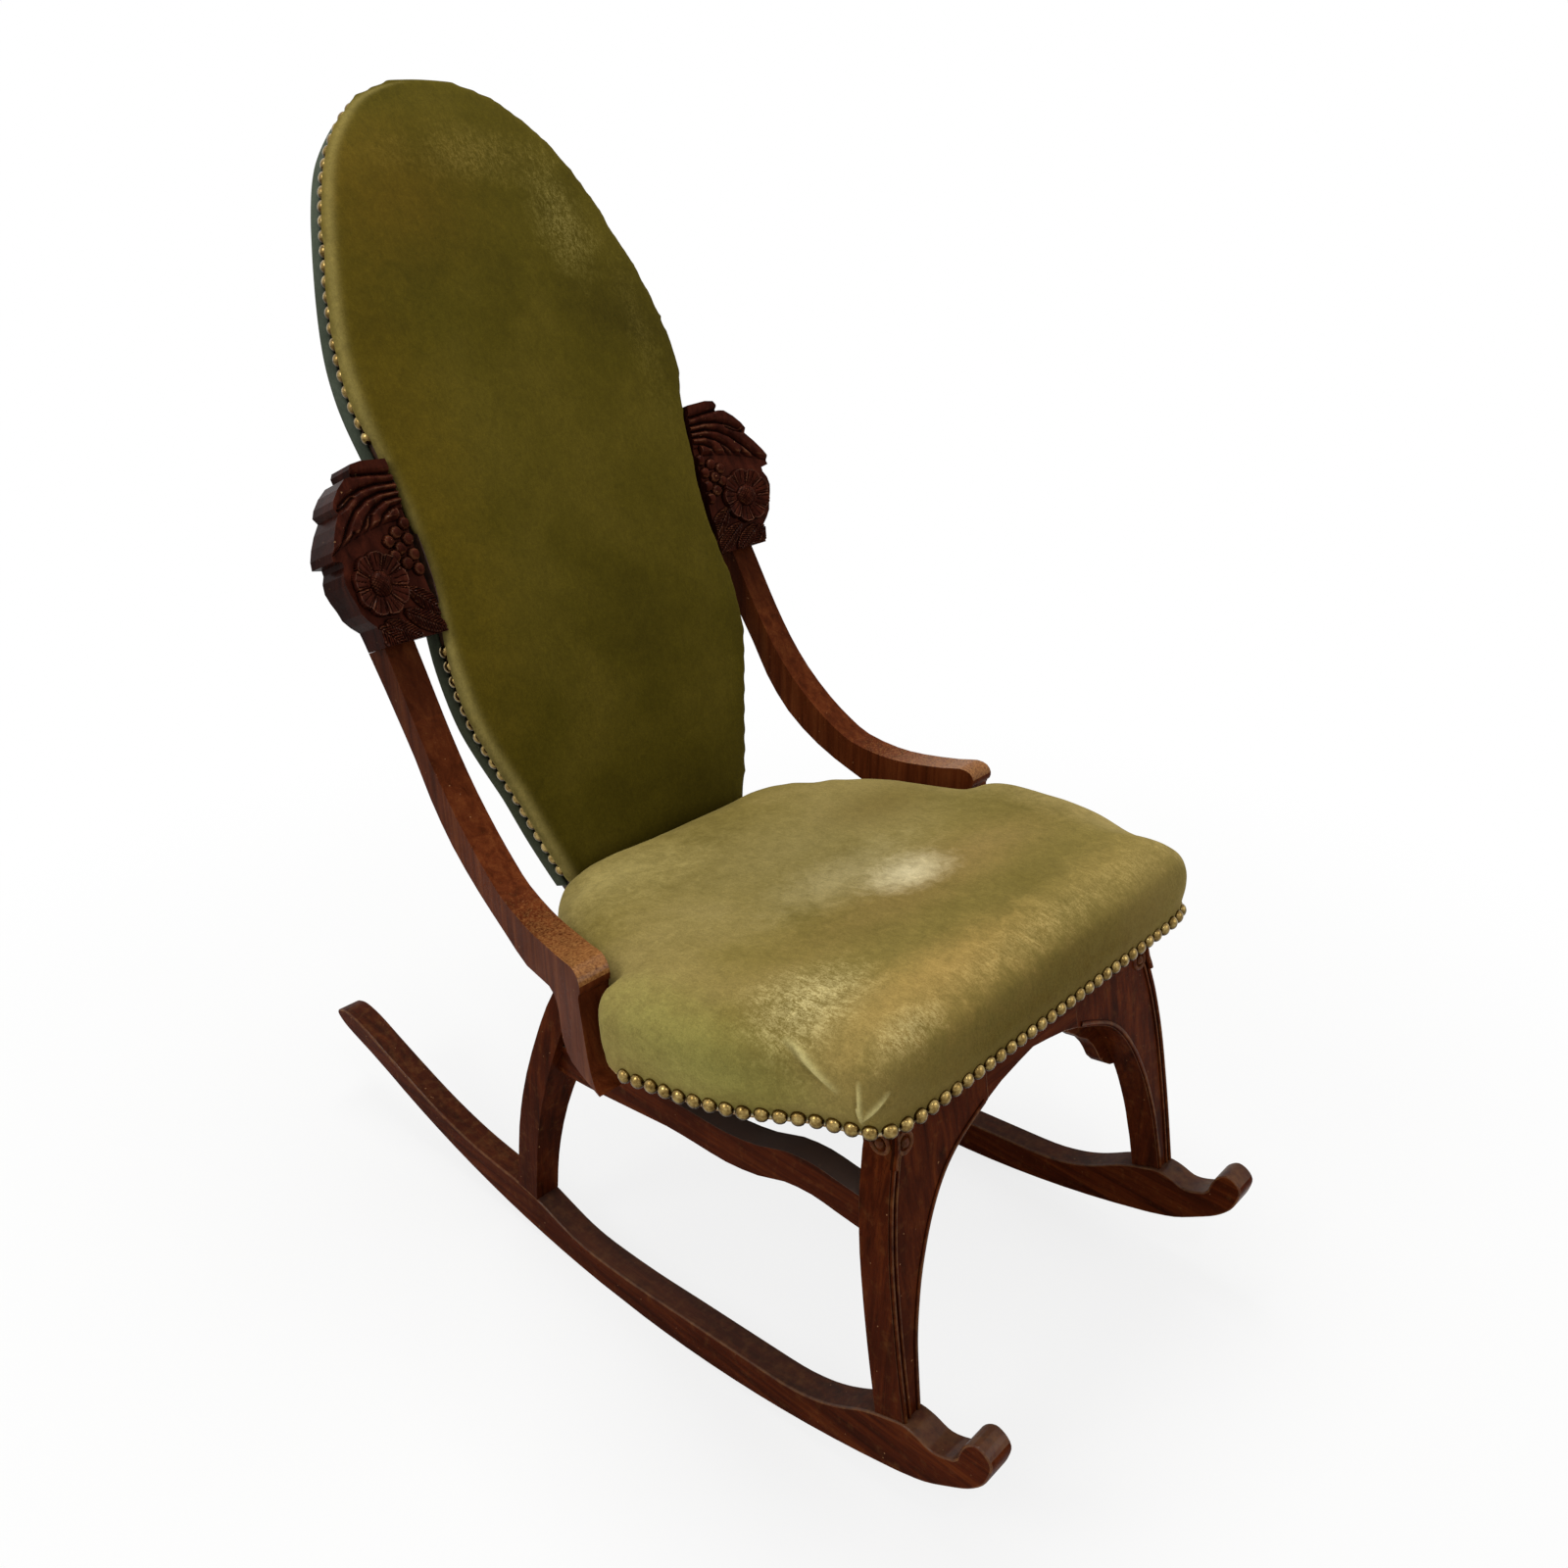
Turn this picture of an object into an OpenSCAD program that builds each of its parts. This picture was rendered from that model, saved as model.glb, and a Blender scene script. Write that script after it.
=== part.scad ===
// Low upholstered rocking chair on bow rockers.
// x runs across the chair, +x to the right of someone facing it, which is the sitter's left.
// y runs from the toes of the rockers to their tails, z is height above the floor.
// Until the last shift, y is measured from the point on which the rockers stand.

/* [Rockers] */
// Radius of the curve on which the chair rocks
rocker_radius = 1047; // [950:1:1200]
// Thickness of each rocker
rocker_t = 25; // [22:0.5:30]
// Distance of the outside face of each rocker inside the widest line of the seat
rocker_in = 54.5; // [48:0.5:60]
// Reach of the toes in front of the point on which the chair stands
toe_reach = 390; // [380:1:410]
// Reach of the tails behind that point
tail_reach = 452; // [445:1:470]
// Greatest depth of a rocker, under the front leg
rocker_depth = 50; // [44:1:58]
// Length of the flat worn under each rocker
worn_flat = 60; // [30:1:80]

/* [Front legs] */
// Distance of the front of the leg foot from the standing point
leg_foot_y = 313; // [305:1:318]
// Thickness of the front leg board
leg_t = 27; // [22:0.5:32]
// Width of the front leg at its foot
leg_foot_w = 21; // [18:0.5:24]
// Angle by which the front legs lean back from foot to top
leg_rake = 10; // [8:0.5:12]
// Height of the middle of the front arch above the floor
arch_height = 306; // [298:1:312]
// Distance of the outside of the leg foot inside the outer face of the rocker
leg_in = 1.5; // [0.5:0.5:4]
// Width of the loose middle piece of the front arch
arch_rail_w = 124; // [110:1:150]

/* [Rear legs] */
// Width of the rear leg from front to back
rear_leg_w = 27; // [24:0.5:30]
// Distance of the middle of the rear foot behind the rear edge of the seat
rear_foot_back = 3.82; // [-3:0.01:10]
// Distance by which the rear leg sweeps forward from its foot to its top
rear_leg_sweep = 73; // [60:1:80]

/* [Side stretchers] */
// Thickness of the curved stretcher between front and rear leg
stretcher_t = 22; // [18:0.5:25]
// Depth of the stretcher
stretcher_h = 29; // [26:1:36]
// Height of the middle line of the stretcher where it meets the front leg
stretcher_front_z = 254; // [246:1:260]
// Height of that line where it meets the rear leg
stretcher_rear_z = 214; // [206:1:220]

/* [Seat] */
// Height of the underside of the seat frame at its front edge
seat_front_z = 343; // [338:1:350]
// Angle by which the seat falls towards the back
seat_slope = 6.6; // [5:0.1:8]
// Greatest width of the seat at the line of nails
seat_w = 504; // [496:1:516]
// Depth of the seat from front edge to back
seat_d = 425; // [420:1:427]
// Distance of the front edge of the seat from the standing point
seat_front_y = 295; // [290:1:300]
// Height of the wooden seat frame
frame_h = 30; // [24:1:36]
// Width of the rails of the seat frame
frame_w = 45; // [38:1:52]
// Height of the cushion above the seat frame, in the middle
seat_crown = 44; // [34:1:50]
// Bulge of the cushion beyond the line of nails
seat_bulge = 8; // [4:0.5:11]

/* [Arms] */
// Thickness of the arm from side to side
arm_t = 28; // [24:0.5:30]
// Distance of the outside of the arm, at its top, inside the widest line of the seat
arm_in = 37; // [34:0.5:39]
// Radius of the outward curve of the arm, seen from above
arm_radius = 1098; // [1050:1:1200]
// Height of the knuckle above the floor
knuckle_z = 392; // [386:1:400]
// Distance of the front of the knuckle behind the shoulder of the seat
knuckle_back = 9.84; // [7:0.01:14]

/* [Back] */
// Height of the foot of the back frame above the underside of the seat frame at its rear edge
foot_lift = 5.85; // [4:0.01:8.5]
// Distance of the front of that foot behind the rear edge of the seat
back_gap = 5.82; // [4:0.01:10]
// Angle by which the back leans
back_lean = 22.5; // [20:0.5:24]
// Length of the back from its foot to the top, along the lean
back_len = 743; // [700:1:760]
// Distance of the back's widest line inside the widest line of the seat
back_in = 77.5; // [75:0.5:81]
// Depth of the side of the back from front to rear
back_t = 34; // [30:1:38]
// Forward bow of the back at mid height
back_bow = 25; // [18:1:32]
// Rise of the padding in the middle of the back
back_crown = 14; // [8:1:20]

/* [Carved blocks] */
// Thickness of the carved shoulder block
block_t = 34; // [28:1:36]
// Height of the carved shoulder block
block_h = 148; // [138:1:156]
// Distance by which its outer edge stands outside the arm
block_out = 19; // [16:0.5:25]
// Height of its lower edge above the foot of the back, along the lean
block_s = 282; // [278:1:288]

/* [Brass nails] */
// Diameter of the domed nail heads
nail_d = 12; // [10:0.5:12.5]
// Height of the domed nail heads
nail_h = 4.6; // [3.5:0.1:5.5]
// Spacing of the nails
nail_pitch = 13.1; // [12.8:0.1:15]

/* [Hidden] */

// Gap left between pieces that are fitted by hand
fit = 0.3;
// Gap round a dowel or a screw in its hole
bore_fit = 0.05;
// Overrun of every cut past the wood that it cuts
over = 5;
// Size of a block that is larger than the chair
huge = 2000;
// Thickness of the velvet and its lining
cover_t = 3;
// Thickness of webbing, hessian and dust cover
cloth_t = 1.2;
mahogany = "#4a2412";
dark_mahogany = "#3a1a12";
beech = "#b88d5c";
velvet = "#7d7236";
band_velvet = "#474b3a";
brass = "#8a7a3c";
steel = "#8f9294";
linen = "#a8936b";
black_cloth = "#222224";
fibre = "#8a7350";
$fn = 48;

// Places that follow from the sizes
seat_hw = seat_w / 2;
rocker_x = seat_hw - rocker_in;
rear_edge_y = seat_d * cos(seat_slope) - seat_front_y;
rear_foot_y = rear_edge_y + rear_foot_back;
back_foot_y = rear_edge_y + back_gap;
back_foot_z = seat_front_z - seat_d * sin(seat_slope) + foot_lift;
shoulder_v = 0.557 * seat_d;
knuckle_y = seat_front_y - shoulder_v * cos(seat_slope) - knuckle_back;
function bow(s) = 4 * back_bow * (s / back_len) * (1 - s / back_len);
arm_end_y = back_foot_y + block_s * sin(back_lean) - bow(block_s) * cos(back_lean);
arm_end_z = back_foot_z + block_s * cos(back_lean) + bow(block_s) * sin(back_lean);
arm_curve_back = 32.84;
arm_curve_y = arm_end_y + arm_curve_back;
arm_top_x = seat_hw - arm_in;
block_x = arm_top_x + block_out;
back_hw = seat_hw - back_in;

// Smooth line through a list of points, with n steps between each two
function bend(a, b, c, d, t) =
    0.5 * (2 * b + (c - a) * t + (2 * a - 5 * b + 4 * c - d) * t * t + (3 * b - a - 3 * c + d) * t * t * t);
function smooth_line(p, n) = concat(
    [for (i = [0:len(p) - 2], j = [0:n - 1])
        bend(p[max(i - 1, 0)], p[i], p[i + 1], p[min(i + 2, len(p) - 1)], j / n)],
    [p[len(p) - 1]]);

// A flat outline given as [y, z] becomes a board between two values of x
module board(x0, x1) {
    translate([x0, 0, 0]) rotate([90, 0, 90]) linear_extrude(x1 - x0) children();
}
module both_ways() {
    children();
    mirror([1, 0, 0]) children();
}

// Side view of a rocker: the bottom arc, the scrolled toe, then the top line
rocker_drop = rocker_radius - sqrt(pow(rocker_radius, 2) - pow(worn_flat / 2, 2));
function arc_z(y) = rocker_radius - sqrt(pow(rocker_radius, 2) - y * y) - rocker_drop;
// Toe: [share of the toe reach, height above the arc as a share of the depth]
toe_shares = [[0.80, 0.0], [0.86, 0.03], [0.915, 0.15], [0.955, 0.26], [0.984, 0.43], [0.997, 0.65],
              [1.0, 0.86], [0.985, 1.05], [0.963, 1.16], [0.943, 1.10], [0.932, 0.95], [0.927, 0.78]];
// Top line in front of the standing point: [share of the toe reach, depth as a share]
front_top_shares = [[0.918, 0.72], [0.89, 0.70], [0.865, 0.74], [0.833, 0.90], [0.80, 1.0], [0.765, 0.99],
                    [0.735, 0.97], [0.70, 0.91], [0.66, 0.79], [0.62, 0.69], [0.57, 0.62], [0.50, 0.60],
                    [0.38, 0.66], [0.20, 0.68], [0.05, 0.62]];
// Top line behind it: [share of the tail reach, depth as a share]
rear_top_shares = [[0.08, 0.57], [0.15, 0.59], [0.21, 0.68], [0.27, 0.77], [0.33, 0.76], [0.40, 0.68],
                   [0.50, 0.58], [0.61, 0.52], [0.72, 0.50], [0.82, 0.47], [0.90, 0.42]];
// Tip of the tail, lifted less than the arc: [share of the tail reach, share of the depth]
tip_shares = [[0.955, 0.28], [0.985, 0.10], [1.0, -0.04], [0.995, -0.14], [0.96, -0.16], [0.87, -0.04]];
toe_line = [for (p = toe_shares) [-toe_reach * p[0], arc_z(toe_reach * p[0]) + rocker_depth * p[1]]];
top_line = concat(
    [for (p = front_top_shares) [-toe_reach * p[0], arc_z(toe_reach * p[0]) + rocker_depth * p[1]]],
    [for (p = rear_top_shares) [tail_reach * p[0], arc_z(tail_reach * p[0]) + rocker_depth * p[1]]],
    [for (p = tip_shares) [tail_reach * p[0], arc_z(tail_reach * p[0]) + rocker_depth * p[1]]]);
sole_steps = 24;
sole_end = 0.80;
sole_line = [for (i = [0:sole_steps])
    let (y = tail_reach * sole_end - (tail_reach * sole_end + toe_reach * 0.78) * i / sole_steps) [y, arc_z(y)]];
rocker_outline = concat(sole_line, smooth_line(toe_line, 3), smooth_line(top_line, 3));

module rocker_side() {
    difference() {
        polygon(rocker_outline);
        translate([-huge / 2, -huge]) square(huge);
    }
}
// Everything lower than the top of the rocker
module under_rocker_top() {
    polygon(concat(smooth_line(top_line, 3), [[tail_reach, -huge], [-toe_reach, -huge]]));
}

module rocker() {
    color(mahogany) difference() {
        board(rocker_x - rocker_t, rocker_x) rocker_side();
        foot_dowels(bore_fit);
    }
}

// Frames of reference of the seat, the front legs and the back
module seat_place() {
    translate([0, -seat_front_y, seat_front_z]) rotate([-seat_slope, 0, 0]) children();
}
module over_seat() {
    seat_place() translate([-huge / 2, -huge / 2, 0]) cube(huge);
}
module back_place() {
    translate([0, back_foot_y, back_foot_z]) rotate([90 - back_lean, 0, 0]) children();
}

// Front legs: one board on each side and a loose middle piece, cut from one arched outline
foot_z = arc_z(leg_foot_y) + rocker_depth;
function rake_y(z) = -leg_foot_y + (z - foot_z) * tan(leg_rake);
arch_x = rocker_x - leg_in - leg_foot_w;
arch_rise = arch_height - foot_z;
// Inner edge of the arch: [share of half the span, share of the rise]
arch_shares = [[1.0, -0.5], [1.0, 0.0], [0.978, 0.194], [0.962, 0.29], [0.935, 0.386], [0.90, 0.484], [0.85, 0.585],
               [0.79, 0.68], [0.706, 0.775], [0.595, 0.85], [0.42, 0.915], [0.25, 0.965], [0.0, 1.0]];
leg_out_x = arch_x + leg_foot_w;
// Outer edge of the leg: [share of its distance from the middle, share of the rise]
leg_out_shares = [[1.0, -0.5], [1.0, 0.0], [0.995, 0.27], [0.98, 0.54], [0.962, 0.70], [0.93, 0.86],
                  [0.89, 0.99], [0.868, 1.10], [0.868, 1.6]];
function up_rake(z) = z / cos(leg_rake);
arch_half = smooth_line([for (p = arch_shares) [arch_x * p[0], up_rake(foot_z + arch_rise * p[1])]], 2);
leg_out = smooth_line([for (p = leg_out_shares) [leg_out_x * p[0], up_rake(foot_z + arch_rise * p[1])]], 2);
arch_outline = concat(leg_out, [[0, leg_out[len(leg_out) - 1][1]]],
                      [for (i = [len(arch_half) - 1:-1:0]) arch_half[i]]);

// The outline stands in a plane that leans back from the feet
module arch_board_of(t) {
    translate([0, rake_y(0), 0]) rotate([90 - leg_rake, 0, 0])
        translate([0, 0, -t]) linear_extrude(t) children();
}
module arch_board() {
    arch_board_of(leg_t) children();
}
module front_leg() {
    color(mahogany) difference() {
        arch_board() intersection() {
            polygon(arch_outline);
            translate([arch_rail_w / 2, -over]) square(huge);
        }
        board(0, huge) under_rocker_top();
        over_seat();
        foot_dowels(bore_fit);
        top_dowels(bore_fit);
        stretcher_pins(bore_fit);
    }
}
module front_rail() {
    color(mahogany) difference() {
        both_ways() arch_board() intersection() {
            polygon(arch_outline);
            translate([-bore_fit, 0]) square([arch_rail_w / 2 + bore_fit, huge]);
        }
        over_seat();
    }
}

// Bracket behind each end of the arch: [share of half the span, share of the rise]
bracket_t = 14;
bracket_shares = [[0.50, 1.6], [0.50, 0.80], [0.55, 0.77], [0.59, 0.741], [0.66, 0.705], [0.71, 0.655], [0.735, 0.62],
                  [0.76, 0.575], [0.80, 0.539], [0.85, 0.51], [0.905, 0.495], [0.905, 1.6]];
module front_brackets() {
    color(mahogany) difference() {
        both_ways() translate([0, leg_t / cos(leg_rake), 0]) arch_board_of(bracket_t)
            polygon([for (p = bracket_shares) [arch_x * p[0], up_rake(foot_z + arch_rise * p[1])]]);
        translate([0, 0, -cloth_t - fit]) over_seat();
    }
}

// Rear legs: bowed in side view, spreading into an arch under the seat
rear_in_x = rocker_x - rocker_t;
// Middle line of the leg: [share of the sweep forward, share of the height]
rear_leg_shares = [[-0.04, -0.12], [0.0, 0.0], [0.09, 0.2], [0.20, 0.38], [0.35, 0.55], [0.52, 0.71],
                   [0.68, 0.85], [0.88, 0.97], [1.04, 1.06], [1.2, 1.2]];
rear_foot_z = arc_z(rear_foot_y) + rocker_depth * 0.76;
rear_top_z = seat_front_z - (seat_front_y + rear_foot_y - rear_leg_sweep) * tan(seat_slope);
rear_mid = smooth_line([for (p = rear_leg_shares)
    [rear_foot_y - rear_leg_sweep * p[0], rear_foot_z + (rear_top_z - rear_foot_z) * p[1]]], 2);
module rear_leg_side() {
    polygon(concat([for (p = rear_mid) p - [rear_leg_w / 2, 0]],
                   [for (i = [len(rear_mid) - 1:-1:0]) rear_mid[i] + [rear_leg_w / 2, 0]]));
}
// Front view of the rear arch: [share of the leg's distance from the middle, share of the height]
rear_out_shares = [[1.0, -0.12], [1.0, 0.0], [1.0, 0.3], [0.985, 0.55], [0.955, 0.75], [0.91, 0.95], [0.87, 1.2]];
rear_arch_shares = [[1.0, -0.12], [1.0, 0.0], [0.995, 0.15], [0.97, 0.3], [0.925, 0.45], [0.86, 0.58],
                    [0.75, 0.70], [0.60, 0.79], [0.42, 0.845], [0.2, 0.865], [0.0, 0.87]];
rear_rise = rear_top_z - rear_foot_z;
rear_arch = smooth_line([for (p = rear_arch_shares) [rear_in_x * p[0], rear_foot_z + rear_rise * p[1]]], 2);
rear_out = smooth_line([for (p = rear_out_shares) [rocker_x * p[0], rear_foot_z + rear_rise * p[1]]], 2);
rear_seam_x = rear_in_x * 0.66;
module rear_arch_front() {
    polygon(concat(rear_out, [[0, rear_out[len(rear_out) - 1][1]]],
                   [for (i = [len(rear_arch) - 1:-1:0]) rear_arch[i]]));
}
module across() {
    translate([0, huge / 2, 0]) rotate([90, 0, 0]) linear_extrude(huge) children();
}
module rear_leg() {
    color(mahogany) difference() {
        intersection() {
            board(rear_seam_x, huge) rear_leg_side();
            across() rear_arch_front();
        }
        board(0, huge) under_rocker_top();
        over_seat();
        foot_dowels(bore_fit);
        top_dowels(bore_fit);
        stretcher_pins(bore_fit);
    }
}
module rear_rail() {
    color(mahogany) difference() {
        both_ways() intersection() {
            board(-bore_fit, rear_seam_x) rear_leg_side();
            across() rear_arch_front();
        }
        over_seat();
    }
}

// Dowels between rockers, legs and seat frame
dowel_r = 4;
foot_dowel_len = 44;
foot_x = rocker_x - rocker_t / 2;
front_foot_mid = -leg_foot_y + leg_t / 2;
module foot_dowels(gap) {
    for (p = [[front_foot_mid, foot_z], [rear_foot_y, rear_foot_z]])
        translate([foot_x, p[0], p[1] - foot_dowel_len / 2 - gap])
            cylinder(h = foot_dowel_len + 2 * gap, r = dowel_r + gap);
}
top_dowel_len = 40;
top_dowel_front_v = frame_w * 0.72;
module top_dowels(gap) {
    for (p = [[leg_out_x * 0.74, top_dowel_front_v],
              [rear_in_x * 0.87, (seat_front_y + rear_foot_y - rear_leg_sweep) / cos(seat_slope)]])
        seat_place() translate([p[0], p[1], -top_dowel_len / 2 - gap])
            cylinder(h = top_dowel_len + 2 * gap, r = dowel_r + gap);
}
module leg_dowels() {
    color(beech) both_ways() {
        foot_dowels(0);
        top_dowels(0);
    }
}

// Curved stretcher between the legs: [share of the way back, share of the fall]
stretcher_shares = [[-0.03, 0.15], [0.0, 0.10], [0.07, 0.06], [0.14, 0.02], [0.22, 0.12], [0.30, 0.38], [0.40, 0.55],
                    [0.50, 0.58], [0.60, 0.62], [0.72, 0.76], [0.84, 0.90], [0.93, 0.98], [1.0, 1.0], [1.04, 1.0]];
stretcher_front_y = rake_y(stretcher_front_z) + leg_t / cos(leg_rake);
stretcher_rear_y = lookup(stretcher_rear_z, [for (p = rear_mid) [p[1], p[0]]]) - rear_leg_w / 2;
stretcher_mid = smooth_line([for (p = stretcher_shares)
    [stretcher_front_y + (stretcher_rear_y - stretcher_front_y) * p[0],
     stretcher_front_z + (stretcher_rear_z - stretcher_front_z) * p[1]]], 2);
stretcher_x = leg_out_x * 0.93;
module stretcher_pins(gap) {
    for (p = [[stretcher_front_y, stretcher_front_z], [stretcher_rear_y, stretcher_rear_z]])
        translate([stretcher_x - stretcher_t / 2, p[0] - stretcher_pin_len - gap, p[1]]) rotate([-90, 0, 0])
            cylinder(h = 2 * (stretcher_pin_len + gap), r = stretcher_pin_r + gap);
}
stretcher_pin_len = 15;
stretcher_pin_r = 5;
module side_stretcher() {
    color(mahogany) {
        difference() {
            board(stretcher_x - stretcher_t, stretcher_x)
                polygon(concat([for (p = stretcher_mid) p - [0, stretcher_h / 2]],
                               [for (i = [len(stretcher_mid) - 1:-1:0]) stretcher_mid[i] + [0, stretcher_h / 2]]));
            arch_board() translate([-huge / 2, 0]) square(huge);
            board(0, huge) rear_leg_side();
        }
        stretcher_pins(0);
    }
}

// Seat, seen from above: [share of half the width, share of the depth, share of the bulge]
front_plan_shares = [[0, 0, 1], [0.35, 0, 1], [0.69, 0, 1], [0.765, 0.008, 1], [0.808, 0.03, 1], [0.828, 0.07, 1],
                     [0.855, 0.13, 1], [0.90, 0.185, 1], [0.94, 0.235, 1], [0.968, 0.29, 1], [0.988, 0.345, 1],
                     [1.0, 0.41, 1], [1.012, 0.465, 1], [1.01, 0.515, 0.9], [0.995, 0.545, 0.6]];
rear_plan_shares = [[0.817, 0.753, 0.3], [0.766, 0.812, 0.6], [0.698, 0.87, 0.8], [0.615, 0.929, 0.9],
                    [0.548, 0.969, 0.6], [0.46, 0.993, 0.2], [0.40, 1, 0]];
// The arm is a ring seen from above, and the seat is notched to clear it even where the cushion leans back most
function arm_outer_x(y) = arm_top_x + arm_radius - sqrt(pow(arm_radius, 2) - pow(arm_curve_y - y, 2));
function arm_inner_x(y) = arm_top_x + arm_radius - sqrt(pow(arm_radius + arm_t, 2) - pow(arm_curve_y - y, 2));
seat_gap = 0.6;
notch_steps = 3;
notch = [for (i = [0:notch_steps])
    let (v = shoulder_v + (0.70 * seat_d - shoulder_v) * i / notch_steps)
        [arm_inner_x(v * cos(seat_slope) + (frame_h + seat_crown) * sin(seat_slope) - seat_front_y) - seat_gap, v, 0]];
seat_half = concat(smooth_line([for (p = front_plan_shares) [seat_hw * p[0], seat_d * p[1], p[2]]], 1),
                   notch,
                   smooth_line([for (p = rear_plan_shares) [seat_hw * p[0], seat_d * p[1], p[2]]], 1));
// The whole outline, anticlockwise from the middle of the front edge
seat_plan = concat(seat_half, [for (i = [len(seat_half) - 1:-1:1]) [-seat_half[i][0], seat_half[i][1], seat_half[i][2]]]);

// Draws a point of an outline in by d towards the middle of the outline
function drawn_in(p, d, hw, hl, c) = [p[0] * (1 - d / hw), c + (p[1] - c) * (1 - d / hl)];
function flat_outline(points, d, hw, hl, c) = [for (p = points) drawn_in(p, d, hw, hl, c)];

// Closed skin over a stack of rings, with a point at each end
module loft(rings, first, last) {
    n = len(rings[0]);
    m = len(rings);
    polyhedron(points = concat([first], [for (r = rings) each r], [last]),
        faces = concat(
            [for (i = [0:n - 1]) [0, 1 + i, 1 + (i + 1) % n]],
            [for (k = [0:m - 2], i = [0:n - 1]) [1 + k * n + i, 1 + (k + 1) * n + i, 1 + k * n + (i + 1) % n]],
            [for (k = [0:m - 2], i = [0:n - 1])
                [1 + k * n + (i + 1) % n, 1 + (k + 1) * n + i, 1 + (k + 1) * n + (i + 1) % n]],
            [for (i = [0:n - 1]) [1 + m * n, 1 + (m - 1) * n + (i + 1) % n, 1 + (m - 1) * n + i]]));
}

seat_mid = [0, seat_d / 2];
seat_top = frame_h + seat_crown;
// Behind, the cover stops above the rail that joins the seat to the back
rear_edge_v = 0.985 * seat_d;
lift_from = frame_h + cloth_t;
lift_to = frame_h + 0.45 * seat_crown;
function lifted(p, z) = p[1] < rear_edge_v || z >= lift_to ? z : lift_from + z * (1 - lift_from / lift_to);
// Height: a value up to 1 is a share of the frame, above 1 a share of the crown
function rim_height(k) = k <= 1 ? frame_h * k : frame_h + seat_crown * (k - 1);
function seat_ring(out, in, z) = [for (p = seat_plan)
    let (q = drawn_in(p, in - out * p[2], seat_hw, seat_d / 2, seat_d / 2)) [q[0], q[1], lifted(p, z)]];
// Outside of the cushion: [share of the bulge, share of half the depth, height]
rim_shares = [[0, 0, 0], [0.12, 0, 0.46], [0.90, 0, 0.80], [1, 0, 1.28], [0.55, 0, 1.60], [0, 0.03, 1.79],
              [0, 0.10, 1.885], [0, 0.25, 1.94], [0, 0.55, 1.98]];
outer_rings = [for (s = rim_shares) seat_ring(s[0] * seat_bulge, s[1] * seat_d / 2, rim_height(s[2]))];
// Inside of the cover
lining_shares = [[0, 0, 0], [0.10, 0, 0.46], [0.85, 0, 0.80], [0.9, 0, 1.27], [0, 0.02, 1.60], [0, 0.10, 1.76],
                 [0, 0.50, 1.89]];
function lining_ring(s, gap) =
    seat_ring(s[0] * seat_bulge, s[1] * seat_d / 2 + cover_t + gap, rim_height(s[2]) - gap);
module seat_cover() {
    color(velvet) seat_place() loft(
        concat([for (i = [len(lining_shares) - 1:-1:0]) lining_ring(lining_shares[i], 0)], outer_rings),
        [seat_mid[0], seat_mid[1], seat_top - 1.3 * cover_t], [seat_mid[0], seat_mid[1], seat_top]);
}
seat_base_z = frame_h + 3 * cloth_t + fit;
pad_shares = [[0, 0.04, 1.62], [0, 0.11, 1.76], [0, 0.50, 1.88]];
module seat_stuffing() {
    color(fibre) seat_place() loft(
        concat([seat_ring(0, 0.05 * seat_d / 2 + cover_t, seat_base_z)],
               [for (s = pad_shares) lining_ring(s, fit)]),
        [seat_mid[0], seat_mid[1], seat_base_z], [seat_mid[0], seat_mid[1], seat_top - 1.6 * cover_t]);
}

// Seat frame: four shaped rails under the cover, notched for the arms
frame_in = cover_t + fit;
module seat_frame_outline(d) {
    polygon(flat_outline(seat_plan, frame_in + d, seat_hw, seat_d / 2, seat_d / 2));
}
module seat_frame_part(v0, v1, x0) {
    seat_place() linear_extrude(frame_h) difference() {
        seat_frame_outline(0);
        seat_frame_outline(frame_w);
        translate([-huge / 2, -huge + v0]) square(huge);
        translate([-huge / 2, v1]) square(huge);
        translate([-huge + x0, -huge / 2]) square(huge);
    }
}
front_rail_v = frame_in + frame_w;
rear_rail_v = seat_d - frame_in - frame_w;
module seat_rail_front() {
    color(beech) difference() {
        seat_frame_part(0, front_rail_v, -huge / 2);
        both_ways() top_dowels(bore_fit);
    }
}
module seat_rail_back() {
    color(beech) difference() {
        seat_place() linear_extrude(frame_h) intersection() {
            union() {
                seat_frame_outline(0);
                translate([-back_foot_w / 2, seat_d - frame_w]) square([back_foot_w, 2 * frame_w]);
            }
            translate([-huge / 2, rear_rail_v]) square(huge);
        }
        back_place() board(-huge / 2, huge / 2) back_slab(-huge, back_front_n + bore_fit);
        both_ways() back_screw(bore_fit);
    }
}
module seat_rail() {
    color(beech) difference() {
        seat_frame_part(front_rail_v, rear_rail_v, 0);
        top_dowels(bore_fit);
        arm_screw_pair(bore_fit);
    }
}
// Glued blocks in the four corners of the frame
block_leg = 34;
module corner_blocks() {
    color(beech) both_ways() seat_place() {
        translate([0, 0, over / 2]) linear_extrude(frame_h - over) difference() {
            seat_frame_outline(frame_w + fit);
            translate([-huge + block_front_x, -huge / 2]) square(huge);
            translate([block_front_x, front_rail_v + fit + block_leg]) square(huge);
            translate([block_front_x, front_rail_v + fit]) rotate(45) translate([-huge, block_leg]) square(2 * huge);
        }
        translate([0, 0, over / 2]) linear_extrude(frame_h - over) difference() {
            seat_frame_outline(frame_w + fit);
            translate([-huge + block_rear_x, -huge / 2]) square(huge);
            translate([block_rear_x, rear_rail_v - fit - block_leg - huge]) square(huge);
            translate([block_rear_x, rear_rail_v - fit - block_leg]) rotate(225) translate([-huge, 0]) square(2 * huge);
        }
    }
}
block_front_x = 0.52 * seat_hw;
block_rear_x = 0.34 * seat_hw;

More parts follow.
